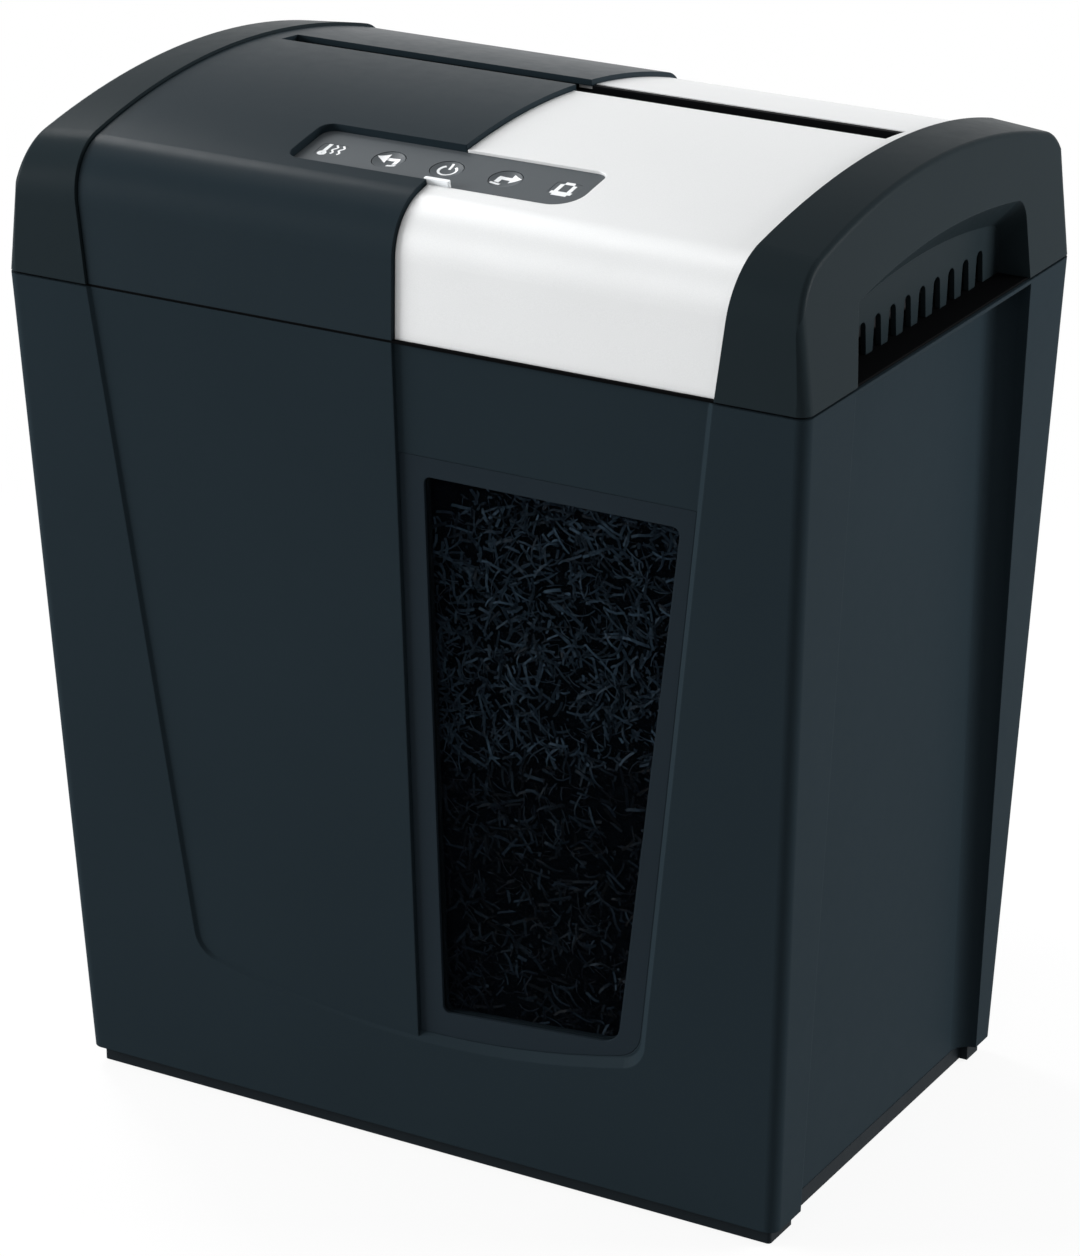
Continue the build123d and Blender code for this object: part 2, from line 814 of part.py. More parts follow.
def silver_top_panel():
    """Right half of the cover, set lower than the black half, with a tongue under its edge."""
    left = step_x + divide_gap
    bounds = between_x(lambda z: left, lambda z: seam_x(z) - seam_gap / 2)
    whole = (-half_width, half_width)
    panel = skin_ring(silver_setback, silver_setback + skin, whole) & bounds
    tongue = skin_ring(black_setback + skin + seat_gap, silver_setback + skin, whole)
    tongue -= under_strip(strip_outline(strip_rim + seat_gap), -shoulder_radius, strip_flange_sink)
    panel += tongue & between_x(lambda z: left - divide_reach, lambda z: left + skin)
    return panel - [strip_opening(), slot_opening((left - divide_reach, slot_half), slot_span_silver)]


# Control strip

def icon_u(number):
    """Place along the strip of one of its five marks, counted from the middle."""
    return (strip_left + strip_right) / 2 + number * icon_pitch


def at_u(u, shape, v=0.0):
    """A flat shape moved to a place on the strip."""
    return Pos(u, v) * shape


def indicator_shapes(gap=0.0):
    """Outlines of the two end marks' lenses, made larger by a gap."""
    width, height = indicator_size
    lens = RectangleRounded(width + 2 * gap, height + 2 * gap, indicator_corner + gap)
    return [at_u(icon_u(number), lens) for number in (-2, 2)]


def light_bar_shape(gap=0.0):
    """Outline of the light bar, made larger by a gap."""
    width, height = light_bar_size
    u, v = light_bar_place
    return at_u(u, RectangleRounded(width + 2 * gap, height + 2 * gap, light_bar_corner + gap), v)


def board_posts():
    """Centres along the strip of the posts that carry the control board."""
    return [icon_u(-1.5), icon_u(1.5)]


def board_top():
    """Depth of the control board's top under the strip's plane."""
    return button_sink + button_bottom() + button_travel + switch_gap + switch_height


def button_bottom():
    """Height of a button, from its rim to the underside of its retaining lip."""
    return strip_underside + slip + button_lip_height - button_sink


def control_fascia():
    """Sunk strip that carries the marks, with button holes and the control board's posts."""
    fascia = under_strip(strip_outline(-2 * seat_gap), strip_sink, strip_underside)
    fascia += under_strip(strip_outline(strip_flange), strip_flange_sink, strip_underside)
    top, board = strip_underside - past, board_top()
    post_face = Circle(board_post_radius)
    fascia += [under_strip(at_u(u, post_face), top, board) for u in board_posts()]
    holes = [at_u(icon_u(number), Circle(button_radius + slip)) for number in (-1, 0, 1)]
    holes += [*indicator_shapes(seat_gap), light_bar_shape(seat_gap)]
    fascia -= [under_strip(hole, 0, strip_underside + past) for hole in holes]
    bores = [at_u(u, Circle(screw_radius + running)) for u in board_posts()]
    bore_top = board - control_board_screw - hole_end_gap
    return fascia - [under_strip(bore, bore_top, board + past) for bore in bores]


def indicator_lenses():
    """Translucent plugs behind the marks at the strip's two ends."""
    return [under_strip(shape, strip_sink + seat_gap, strip_underside) for shape in indicator_shapes()]


def standby_light_bar():
    """Short light bar at the front edge of the strip, below the middle button."""
    return under_strip(light_bar_shape(), light_bar_sink, strip_underside)


def button(number):
    """Round push button with a dished top and a lip that keeps it under the strip."""
    u, bottom = icon_u(number), button_sink + button_bottom()
    lip_top = bottom - button_lip_height
    cap = under_strip(at_u(u, Circle(button_radius)), button_sink, bottom)
    cap += under_strip(at_u(u, Circle(button_radius + button_lip)), lip_top, bottom)
    ball = strip_plane(button_sink + dimple_depth - dimple_radius) * Pos(u, 0) * Sphere(dimple_radius)
    return cap - ball


def stem(number):
    """Moving stem of the switch under a button."""
    bottom = button_sink + button_bottom()
    return under_strip(at_u(icon_u(number), Circle(stem_radius)), bottom, bottom + stem_height)


def button_switches():
    """Bodies of the three switches on the control board."""
    bottom = board_top()
    top = bottom - switch_height
    bodies = []
    for number in (-1, 0, 1):
        body = under_strip(at_u(icon_u(number), Rectangle(switch_side, switch_side)), top, bottom)
        bore = at_u(icon_u(number), Circle(stem_radius + slip))
        bodies.append(body - under_strip(bore, top - past, bottom - slip))
    return bodies


def control_board():
    """Circuit board on the strip's posts."""
    top = board_top()
    board = under_strip(at_u(icon_u(0), Rectangle(*control_board_size)), top, top + board_thickness)
    bores = [at_u(u, Circle(screw_radius + running)) for u in board_posts()]
    return board - [under_strip(bore, top - past, top + board_thickness + past) for bore in bores]


def control_board_screws():
    """Screws up through the control board into its posts."""
    seat = strip_plane(board_top() + board_thickness)
    heads = [seat.from_local_coords(Vector(u, 0, 0)) for u in board_posts()]
    return screws(heads, board_thickness + control_board_screw, seat.z_dir)


# Paper throat

def slot_middle():
    """Y of the plane in which the paper falls, midway between the cutters."""
    return sum(cutter_y) / 2


def throat_top():
    """Flat top of the throat, just under the lower of the two panels."""
    rear = slot_span_silver[1] + throat_wall
    return crown_height(rear, silver_setback + skin) - seat_gap


def throat_side(direction):
    """Section of the throat's front (-1) or rear (+1) wall."""
    mouth = slot_span[0] if direction < 0 else slot_span[1]
    inner = slot_middle() + direction * throat_gap / 2
    wall = direction * throat_wall
    return polygon(
        (mouth, throat_top()),
        (inner, throat_taper_foot),
        (inner, throat_foot),
        (inner + wall, throat_foot),
        (inner + wall, throat_taper_foot),
        (mouth + wall, throat_top()),
    )


def paper_throat():
    """Guide from the slot down between the cutters, with a collar under both panels."""
    deep = plate_x - slip
    throat = along_x(throat_side(-1), (-deep, deep)) + along_x(throat_side(1), (-deep, deep))
    front, rear = slot_span
    collar_x = slot_half + throat_wall
    span = (front - throat_wall, rear + throat_wall)
    top, foot = throat_top(), throat_top() - collar_depth
    collar = block((-collar_x, collar_x), span, (foot, top))
    collar -= block((-slot_half, slot_half), slot_span, (foot + collar_floor, top + past))
    collar -= block((-deep, deep), span, (foot - past, top + past))
    left = step_x + divide_gap
    lip = along_x(head_outline(silver_setback + lip_sink), (left, slot_half - seat_gap))
    lip_walls = [(slot_span_silver[0] + seat_gap, front), (rear, slot_span_silver[1] - seat_gap)]
    lip &= sum_of([block((0, half_width), wall, (foot, head_crown)) for wall in lip_walls])
    right = left - divide_reach - seat_gap
    black_lip = along_x(head_outline(black_setback + skin + seat_gap), (-slot_half, right))
    walls = [(front - throat_wall, front), (rear, rear + throat_wall)]
    whole = (-half_width, half_width)
    black_lip &= sum_of([block(whole, wall, (top - past, head_crown)) for wall in walls])
    return throat + [collar, lip, black_lip]


def sum_of(pieces):
    """Several solids as one."""
    return pieces[0] + pieces[1:]


def paper_sensors():
    """Emitter and receiver that face each other across the throat's walls."""
    width, depth, height = sensor_size
    reach = throat_gap / 2 + throat_wall
    return [
        block(
            (-width / 2, width / 2),
            sorted((slot_middle() + side * reach, slot_middle() + side * (reach + depth))),
            (sensor_foot, sensor_foot + height),
        )
        for side in (-1, 1)
    ]


# Head tray

def plate_feet():
    """Each side plate's folded feet, as (x span, y span)."""
    feet = []
    for side, front in ((-1, left_plate_front), (1, right_plate_front)):
        x = sorted((side * plate_x, side * (plate_outer + foot_reach)))
        feet += [(x, (front, front + foot_length)), (x, (plate_rear - foot_length, plate_rear))]
    return feet


def foot_screw_places():
    """Screw places in the middle of the feet's outer parts."""
    places = []
    for x, y in plate_feet():
        side = 1 if sum(x) > 0 else -1
        places.append((side * (plate_outer + foot_reach / 2), sum(y) / 2))
    return places


def board_post_places():
    """Corners of the power board where its posts stand."""
    (x_low, x_high), (y_low, y_high) = power_board_span
    inset = board_post_inset
    return [(x, y) for x in (x_low + inset, x_high - inset) for y in (y_low + inset, y_high - inset)]


def tray_flange():
    """Flange that rests on the bin's rim, and the step inside the covers that stands on it."""
    lip = along_z(Pos(0, 0, -rim_top) * bin_section(rim_top, flange_inset), (rim_top, head_foot))
    inner = Pos(0, 0, -rim_top) * bin_section(rim_top, silver_setback + skin + slip)
    step = along_z(inner, (head_foot, head_foot + flange_step))
    step -= [grip(grip_wall + slip), mirrored(grip(grip_wall + slip))]
    return lip + step


def head_tray():
    """Lower housing of the head: a pan inside the bin's mouth, with the shred outlet in its floor."""
    floor = tray_foot + tray_wall
    outer = RectangleRounded(2 * tray_half_x, 2 * tray_half_y, tray_corner)
    inner = offset(outer, -tray_wall)
    tray = along_z(outer, (tray_foot, head_foot + flange_step)) + tray_flange()
    tray -= along_z(inner, (floor, head_crown))
    tray -= block((-outlet_half, outlet_half), outlet_span, (tray_foot - past, floor + past))
    tray += [post(place, foot_post_radius, (tray_foot, plate_foot)) for place in foot_screw_places()]
    lift = floor + power_board_lift
    tray += [post(place, power_post_radius, (tray_foot, lift)) for place in board_post_places()]
    bores = [screw_hole((x, y, plate_foot), foot_screw) for x, y in foot_screw_places()]
    bores += [screw_hole((x, y, lift), power_board_screw + hole_end_gap) for x, y in board_post_places()]
    bores += [screw_hole((x, y, rim_top), boss_screw, (0, 0, 1)) for x, y in cover_screw_places()]
    plunger = post(plunger_place, plunger_radius + slip, (tray_foot, head_crown))
    return tray - bores - plunger


def cover_screw_places():
    """Places of the screws that hold the end caps down on the tray's flange."""
    return [(x, y) for x in (-boss_x, boss_x) for y in (-boss_y, boss_y)]


def cover_screws():
    """Screws up through the tray's flange into the end caps' bosses."""
    seats = [(x, y, rim_top) for x, y in cover_screw_places()]
    return screws(seats, boss_screw - hole_end_gap, (0, 0, 1))


# Cutting block

def side_plate(side, front):
    """Steel plate at one end of the cutters, with its feet folded outwards."""
    near, far = sorted((side * plate_x, side * plate_outer))
    shoulder_y, shoulder_z = plate_shoulder[0], plate_foot + plate_shoulder[1]
    ear = plate_foot + ear_height
    outline = polygon(
        (front, plate_foot), (plate_rear, plate_foot), (plate_rear, ear), (shoulder_y, shoulder_z),
        (shoulder_y, plate_top - plate_chamfer), (shoulder_y - plate_chamfer, plate_top),
        (front + plate_chamfer, plate_top), (front, plate_top - plate_chamfer),
    )
    plate = along_x(outline, (near, far))
    for x, y in plate_feet():
        if sum(x) * side > 0:
            plate += block(x, y, (plate_foot, plate_foot + foot_thickness))
    holes = [rod((y, cutter_z), bush_radius, (near - past, far + past)) for y in cutter_y]
    holes += [rod(place, tie_tenon + running, (near - past, far + past)) for place in tie_places]
    top = plate_foot + foot_thickness
    holes += [screw_hole((x, y, top), foot_screw + foot_thickness) for x, y in foot_screw_places()]
    return plate - holes


def left_side_plate():
    """Plate between the cutters and the synchronising gears."""
    return side_plate(-1, left_plate_front)


def right_side_plate():
    """Longer plate that also carries the motor, the gear pins and the gear plate's spacers."""
    span = (plate_x - past, plate_outer + past)
    holes = [rod(place, pin_radius + running, span) for place in (second_centre, first_centre)]
    holes.append(rod(motor_centre, rotor_radius + motor_hole_gap, span))
    holes += [screw_hole(place, 2 * plate_thickness, (-1, 0, 0)) for place in motor_screw_places()]
    return side_plate(1, right_plate_front) - holes


def tie_bars():
    """Round bars that hold the side plates apart, riveted through them."""
    return [
        rod(place, tie_radius, (-plate_x, plate_x)) + rod(place, tie_tenon, (-plate_outer, plate_outer))
        for place in tie_places
    ]


def cutter_bushings():
    """Flanged bushes that carry both cutters in the side plates."""
    bushes = []
    for y in cutter_y:
        for side in (-1, 1):
            inner, outer = side * (plate_x - bush_flange), side * plate_outer
            bush = rod((y, cutter_z), bush_radius, sorted((side * plate_x, outer)))
            bush += rod((y, cutter_z), bush_flange_radius, sorted((inner, side * plate_x)))
            bushes.append(bush - rod((y, cutter_z), journal_radius + running, (-half_width, half_width)))
    return bushes


def disc_places(y):
    """Middles along X of one cutter's discs: the two cutters' discs take turns."""
    shift = -disc_pitch / 4 if y == cutter_y[0] else disc_pitch / 4
    first = -(disc_count - 1) * disc_pitch / 2 + shift
    return [first + number * disc_pitch for number in range(disc_count)]


def disc_outline(turn):
    """Cutting disc with hooked teeth round its rim."""
    points = []
    for tooth in range(disc_teeth):
        angle = turn + 2 * pi * tooth / disc_teeth
        valley = angle + hook_share * 2 * pi / disc_teeth
        points.append((disc_radius * cos(angle), disc_radius * sin(angle)))
        points.append(((disc_radius - hook_depth) * cos(valley), (disc_radius - hook_depth) * sin(valley)))
    return polygon(*points)


def cutter(y, ends):
    """Cutter shaft with its row of discs, each turned a little from the last."""
    thickness = disc_pitch / 2 - slip
    shaft = rod((y, cutter_z), disc_core, (-plate_x + 2 * bush_flange, plate_x - 2 * bush_flange))
    shaft += rod((y, cutter_z), journal_radius, ends)
    step = 2 * pi / disc_teeth / disc_turns
    for number, x in enumerate(disc_places(y)):
        disc = Pos(y, cutter_z) * disc_outline(number * step)
        shaft += along_x(disc, (x - thickness / 2, x + thickness / 2))
    return shaft


def front_cutter():
    """Front cutter, driven through the synchronising gears at its left end."""
    return cutter(cutter_y[0], (-shaft_left, plate_outer))


def rear_cutter():
    """Rear cutter, which carries the drive gear at its right end."""
    return cutter(cutter_y[1], (-shaft_left, plate_outer + drive_size[3] + shaft_end))


def block_screws():
    """Screws down through the side plates' feet into the tray's posts."""
    top = plate_foot + foot_thickness
    return screws([(x, y, top) for x, y in foot_screw_places()], foot_screw)


def stripper_comb(y, side):
    """Bar with fingers between one cutter's discs, on its front (-1) or rear (+1) side."""
    thickness = disc_pitch / 2 - slip
    near = y + side * (disc_radius + comb_gap)
    bar = sorted((near, near + side * comb_wall))
    height = (cutter_z - comb_half_height, cutter_z + comb_half_height)
    comb = block((-plate_x, plate_x), bar, height)
    fingers = sorted((y, near + side * comb_wall / 2))
    finger_z = (cutter_z - finger_half_height, cutter_z + finger_half_height)
    gaps = [x + disc_pitch / 2 for x in disc_places(y)[:-1]]
    comb += [block((x - thickness / 2, x + thickness / 2), fingers, finger_z) for x in gaps]
    clear = plate_x - disc_pitch / 2
    return comb - rod((y, cutter_z), disc_core + 2 * slip, (-clear, clear))


def front_stripper_comb():
    """Comb that clears the front cutter."""
    return stripper_comb(cutter_y[0], -1)


def rear_stripper_comb():
    """Comb that clears the rear cutter."""
    return stripper_comb(cutter_y[1], 1)


# Gears

def pitch_distance(one, other):
    """Centre distance of two meshed gears."""
    return (one[0] + other[0]) * one[1] / 2


def from_centre(centre, distance, bearing):
    """Place at a distance and bearing from a centre in the Y and Z plane."""
    return (centre[0] + distance * cos(bearing), centre[1] + distance * sin(bearing))


def meshed_turn(size, driver, driver_turn, bearing):
    """Turn that puts a gear in mesh with one that lies at the opposite of a bearing."""
    offset_teeth = (bearing - driver_turn) * driver[0] / (2 * pi) % 1
    return bearing + pi + (2 * offset_teeth + 1) * pi / size[0]


def gear(size, centre, turn, bore=0.0, side=1):
    """Spur gear beside the left (-1) or right (+1) plate, with a tooth centred on its turn."""
    teeth, module, near, far = size
    span = sorted((side * (plate_outer + near), side * (plate_outer + far)))
    pitch = teeth * module / 2
    half = (pi / 2 - backlash) * module / 2
    root, tip = pitch - gear_dedendum * module, pitch + gear_addendum * module
    root_half = min((half + gear_dedendum * module * flank_slope) / root, root_share * pi / teeth)
    tip_half = (half - gear_addendum * module * flank_slope) / tip
    points = []
    for tooth in range(teeth):
        angle = turn + 2 * pi * tooth / teeth
        for radius, lean in ((root, -root_half), (tip, -tip_half), (tip, tip_half), (root, root_half)):
            points.append((radius * cos(angle + lean), radius * sin(angle + lean)))
    wheel = along_x(Pos(*centre) * polygon(*points), span)
    return wheel - rod(centre, bore, (span[0] - past, span[1] + past)) if bore else wheel


second_bearing = radians(second_angle)
first_bearing = radians(first_angle)
motor_bearing = radians(motor_angle)
front_centre = (cutter_y[0], cutter_z)
rear_centre = (cutter_y[1], cutter_z)
second_centre = from_centre(rear_centre, pitch_distance(drive_size, second_pinion_size), second_bearing)
first_centre = from_centre(second_centre, pitch_distance(second_wheel_size, first_pinion_size), first_bearing)
motor_centre = from_centre(first_centre, pitch_distance(first_wheel_size, motor_pinion_size), motor_bearing)


def front_sync_gear():
    """Synchronising gear on the front cutter."""
    turn = meshed_turn(sync_size, sync_size, 0.0, pi)
    return gear(sync_size, front_centre, turn, journal_radius, -1)


def rear_sync_gear():
    """Synchronising gear on the rear cutter."""
    return gear(sync_size, rear_centre, 0.0, journal_radius, -1)


def drive_gear():
    """Large gear on the rear cutter's right end."""
    return gear(drive_size, rear_centre, 0.0, journal_radius)


def second_gear():
    """Compound gear: its pinion drives the drive gear."""
    turn = meshed_turn(second_pinion_size, drive_size, 0.0, second_bearing)
    bore = pin_radius + running
    wheel = gear(second_wheel_size, second_centre, 0.0, bore)
    return wheel + gear(second_pinion_size, second_centre, turn, bore)


def first_gear():
    """Compound gear: its wheel meshes with the motor pinion."""
    turn = meshed_turn(first_pinion_size, second_wheel_size, 0.0, first_bearing)
    bore = pin_radius + running
    wheel = gear(first_wheel_size, first_centre, 0.0, bore)
    return wheel + gear(first_pinion_size, first_centre, turn, bore)


def motor_pinion():
    """Pinion on the motor's shaft."""
    turn = meshed_turn(motor_pinion_size, first_wheel_size, 0.0, motor_bearing)
    return gear(motor_pinion_size, motor_centre, turn, rotor_radius)


def gear_pins():
    """Fixed pins that the two compound gears turn on."""
    span = (plate_x, gear_plate_x + gear_plate_thickness)
    return [rod(centre, pin_radius, span) for centre in (second_centre, first_centre)]


def gearbox_spacers():
    """Spacers between the right side plate and the gear plate."""
    return [rod(place, spacer_radius, (plate_outer, gear_plate_x)) for place in spacer_places]


def gearbox_plate():
    """Outer plate that holds the pins' free ends."""
    outline = offset(polygon(*spacer_places), 2 * spacer_radius)
    span = (gear_plate_x, gear_plate_x + gear_plate_thickness)
    wide = (gear_plate_x - past, gear_plate_x + gear_plate_thickness + past)
    holes = [rod(centre, pin_radius + running, wide) for centre in (second_centre, first_centre)]
    return along_x(outline, span) - holes


# Motor

def motor_screw_places():
    """Head seats of the motor's screws on the right side plate."""
    y, z = motor_centre
    return [(plate_outer, y, z + side * motor_screw_reach) for side in (-1, 1)]


def motor_case():
    """Steel case with its front cover against the right side plate."""
    case = rod(motor_centre, motor_radius, (motor_left, plate_x))
    case -= rod(motor_centre, motor_radius - motor_wall, (motor_left - past, plate_x - motor_cover))
    case -= rod(motor_centre, rotor_radius + running, (motor_left, plate_x + past))
    return case - [screw_hole(place, 3 * plate_thickness, (-1, 0, 0)) for place in motor_screw_places()]


def motor_end_bell():
    """Cover on the motor's left end, with the rotor's bearing."""
    bell = rod(motor_centre, motor_radius, (motor_left - bell_thickness, motor_left))
    return bell - rod(motor_centre, rotor_radius + running, (motor_left - 2 * bell_thickness, plate_x))


def motor_rotor():
    """Armature on its shaft."""
    shaft = rod(motor_centre, rotor_radius, (fan_span[0], plate_outer + motor_pinion_size[3]))
    return shaft + rod(motor_centre, armature_radius, armature_span)


def cooling_fan():
    """Fan on the rotor's left end."""
    fan = rod(motor_centre, fan_hub, fan_span)
    blade = Pos((fan_hub + fan_radius) / 2, 0) * Rectangle(fan_radius - fan_hub + past, blade_thickness)
    for number in range(fan_blades):
        turned = Pos(*motor_centre) * Rot(0, 0, 360 / fan_blades * number) * blade
        fan += along_x(turned, fan_span)
    return fan - rod(motor_centre, rotor_radius, (fan_span[0] - past, fan_span[1] + past))


def motor_screws():
    """Screws through the right side plate into the motor's front cover."""
    return screws(motor_screw_places(), plate_thickness + motor_cover - hole_end_gap, (-1, 0, 0))


def thermal_cutout():
    """Heat switch under the motor, shaped to its case."""
    length, width, height = cutout_size
    y, z = motor_centre
    foot = z - motor_radius - height / 2
    middle = (motor_left + plate_x) / 2
    x = (middle - length / 2, middle + length / 2)
    body = block(x, (y - width / 2, y + width / 2), (foot, foot + height))
    return body - rod(motor_centre, motor_radius + running, (motor_left, plate_x))


# Power board, interlock and cord gland

def on_power_board(size, x, y):
    """Box of a size on the power board, centred on a place."""
    width, depth, height = size
    top = tray_foot + tray_wall + power_board_lift + board_thickness
    return block((x - width / 2, x + width / 2), (y - depth / 2, y + depth / 2), (top, top + height))


def power_board():
    """Circuit board on posts in the tray's front left."""
    foot = tray_foot + tray_wall + power_board_lift
    board = block(*power_board_span, (foot, foot + board_thickness))
    holes = [screw_hole((x, y, foot + board_thickness), 2 * board_thickness) for x, y in board_post_places()]
    return board - holes


def power_board_screws():
    """Screws down through the power board into its posts."""
    top = tray_foot + tray_wall + power_board_lift + board_thickness
    return screws([(x, y, top) for x, y in board_post_places()], board_thickness + power_board_screw)


def transformer():
    """Small mains transformer on the power board."""
    (x_low, x_high), (y_low, y_high) = power_board_span
    x = (x_low + x_high) / 2 - capacitor_radius - parts_gap - transformer_size[0] / 2
    return on_power_board(transformer_size, x, (y_low + y_high) / 2)


def relay():
    """Motor relay on the power board."""
    (x_low, x_high), (y_low, y_high) = power_board_span
    x = (x_low + x_high) / 2 + capacitor_radius + parts_gap + relay_size[0] / 2
    return on_power_board(relay_size, x, (y_low + y_high) / 2)


def smoothing_capacitor():
    """Round capacitor on the power board."""
    (x_low, x_high), (y_low, y_high) = power_board_span
    top = tray_foot + tray_wall + power_board_lift + board_thickness
    place = ((x_low + x_high) / 2, (y_low + y_high) / 2)
    return post(place, capacitor_radius, (top, top + capacitor_height))


def interlock_switch():
    """Switch over the tray's flange that the bin's rib closes."""
    width, depth, height = interlock_switch_size
    x, y = plunger_place
    foot = head_foot + flange_step
    body = block((x - width / 2, x + width / 2), (y - depth / 2, y + depth / 2), (foot, foot + height))
    return body - post(plunger_place, plunger_radius + slip, (foot - past, foot + plunger_bore))


def interlock_plunger():
    """Plunger of the interlock switch, pressed up by the bin's rib."""
    foot = rim_top - rib_drop + plunger_gap
    return post(plunger_place, plunger_radius, (foot, foot + plunger_height))


def cord_gland():
    """Bush in the rear wall for the mains cord."""
    x, z = gland_place
    flange_radius, flange_thickness = gland_flange
    rear = half_depth - black_setback
    gland = along_y(Pos(x, z) * Circle(gland_radius), (rear - gland_length, rear))
    gland += along_y(Pos(x, z) * Circle(flange_radius), (rear, rear + flange_thickness))
    nut = along_y(Pos(x, z) * RegularPolygon(flange_radius, 6), (rear - skin - gland_nut, rear - skin))
    return gland + nut - along_y(Pos(x, z) * Circle(gland_bore), (0, half_depth + well_past))


# Nodes

NODES = {
    "bin_shell": bin_shell,
    "base_skirt": base_skirt,
    "rubber_feet": rubber_feet,
    "window_frame": window_frame,
    "window_lens": window_lens,
    "shredded_paper": shredded_paper,
    "head_tray": head_tray,
    "left_end_cap": left_end_cap,
    "right_end_cap": right_end_cap,
    "black_top_panel": black_top_panel,
    "silver_top_panel": silver_top_panel,
    "control_fascia": control_fascia,
    "indicator_lenses": indicator_lenses,
    "standby_light_bar": standby_light_bar,
    "reverse_button": lambda: button(-1),
    "power_button": lambda: button(0),
    "forward_button": lambda: button(1),
    "reverse_switch_stem": lambda: stem(-1),
    "power_switch_stem": lambda: stem(0),
    "forward_switch_stem": lambda: stem(1),
    "button_switches": button_switches,
    "control_board": control_board,
    "control_board_screws": control_board_screws,
    "paper_throat": paper_throat,
    "paper_sensors": paper_sensors,
    "cover_screws": cover_screws,
    "left_side_plate": left_side_plate,
    "right_side_plate": right_side_plate,
    "tie_bars": tie_bars,
    "cutter_bushings": cutter_bushings,
    "front_cutter": front_cutter,
    "rear_cutter": rear_cutter,
    "front_stripper_comb": front_stripper_comb,
    "rear_stripper_comb": rear_stripper_comb,
    "block_screws": block_screws,
    "front_sync_gear": front_sync_gear,
    "rear_sync_gear": rear_sync_gear,
    "drive_gear": drive_gear,
    "second_gear": second_gear,
    "first_gear": first_gear,
    "motor_pinion": motor_pinion,
    "gear_pins": gear_pins,
    "gearbox_spacers": gearbox_spacers,
    "gearbox_plate": gearbox_plate,
    "motor_case": motor_case,
    "motor_end_bell": motor_end_bell,
    "motor_rotor": motor_rotor,
    "cooling_fan": cooling_fan,
    "motor_screws": motor_screws,
    "thermal_cutout": thermal_cutout,
    "power_board": power_board,
    "power_board_screws": power_board_screws,
    "transformer": transformer,
    "relay": relay,
    "smoothing_capacitor": smoothing_capacitor,
    "interlock_switch": interlock_switch,
    "interlock_plunger": interlock_plunger,
    "cord_gland": cord_gland,
}

os.makedirs("parts", exist_ok=True)
for name, make in NODES.items():
    made = make()
    pieces = made if isinstance(made, list) else [made]
    solids = [solid for piece in pieces for solid in piece.solids()]
    export_step(Compound(children=solids) if len(solids) > 1 else solids[0], f"parts/{name}.step")
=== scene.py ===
"""Looks of the paper shredder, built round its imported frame. Metres, front towards -Y, +X to the right."""

import random
from math import cos, pi, radians, sin, sqrt

import bmesh
import bpy
from mathutils import Matrix, Vector
from mathutils.bvhtree import BVHTree

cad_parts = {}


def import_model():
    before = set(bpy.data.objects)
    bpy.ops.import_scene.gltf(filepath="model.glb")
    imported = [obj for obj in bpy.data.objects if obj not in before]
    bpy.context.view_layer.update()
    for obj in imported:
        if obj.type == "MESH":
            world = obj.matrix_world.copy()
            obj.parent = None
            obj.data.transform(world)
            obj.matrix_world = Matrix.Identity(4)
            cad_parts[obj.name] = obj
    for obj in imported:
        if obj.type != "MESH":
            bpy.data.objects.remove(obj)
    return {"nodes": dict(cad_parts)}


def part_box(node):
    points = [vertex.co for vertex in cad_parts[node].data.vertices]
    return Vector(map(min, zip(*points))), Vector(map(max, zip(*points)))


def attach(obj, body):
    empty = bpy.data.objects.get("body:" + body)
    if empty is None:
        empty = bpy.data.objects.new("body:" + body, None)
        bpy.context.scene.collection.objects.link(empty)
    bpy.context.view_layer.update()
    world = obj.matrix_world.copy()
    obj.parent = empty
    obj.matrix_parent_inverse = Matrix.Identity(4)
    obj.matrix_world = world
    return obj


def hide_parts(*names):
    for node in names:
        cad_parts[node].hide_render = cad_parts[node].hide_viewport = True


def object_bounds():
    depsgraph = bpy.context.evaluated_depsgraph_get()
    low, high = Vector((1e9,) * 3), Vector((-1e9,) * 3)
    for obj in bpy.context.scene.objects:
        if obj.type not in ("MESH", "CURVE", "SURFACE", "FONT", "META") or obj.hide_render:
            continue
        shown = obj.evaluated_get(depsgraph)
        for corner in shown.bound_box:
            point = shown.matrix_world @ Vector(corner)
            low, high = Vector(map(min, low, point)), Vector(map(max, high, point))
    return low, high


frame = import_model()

cad_low, cad_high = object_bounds()
nodes = frame["nodes"]
collection = bpy.context.scene.collection
MM = 0.001
RIGHT = Vector((1, 0, 0))
TOP = Vector((0, 0, 1))
rng = random.Random(71)


# Shader helpers

SLATE = (0.0132, 0.0208, 0.0262)
BLACK = (0.02, 0.02, 0.021)
NOISE_LOW, NOISE_HIGH = 0.3, 0.7  # the span that a noise texture's values mostly keep to


def new_material(name):
    """An empty node material with its shader and output."""
    material = bpy.data.materials.new(name)
    material.use_nodes = True
    tree = material.node_tree
    tree.nodes.clear()
    shader = tree.nodes.new("ShaderNodeBsdfPrincipled")
    output = tree.nodes.new("ShaderNodeOutputMaterial")
    tree.links.new(shader.outputs["BSDF"], output.inputs["Surface"])
    return material, tree, shader


def noise(tree, scale, detail=3.0, stretch=(1.0, 1.0, 1.0)):
    """Noise in the piece's own space, stretched along its axes."""
    place = tree.nodes.new("ShaderNodeTexCoord")
    mapping = tree.nodes.new("ShaderNodeMapping")
    mapping.inputs["Scale"].default_value = stretch
    texture = tree.nodes.new("ShaderNodeTexNoise")
    texture.inputs["Scale"].default_value = scale
    texture.inputs["Detail"].default_value = detail
    tree.links.new(place.outputs["Object"], mapping.inputs["Vector"])
    tree.links.new(mapping.outputs["Vector"], texture.inputs["Vector"])
    return texture.outputs["Fac"]


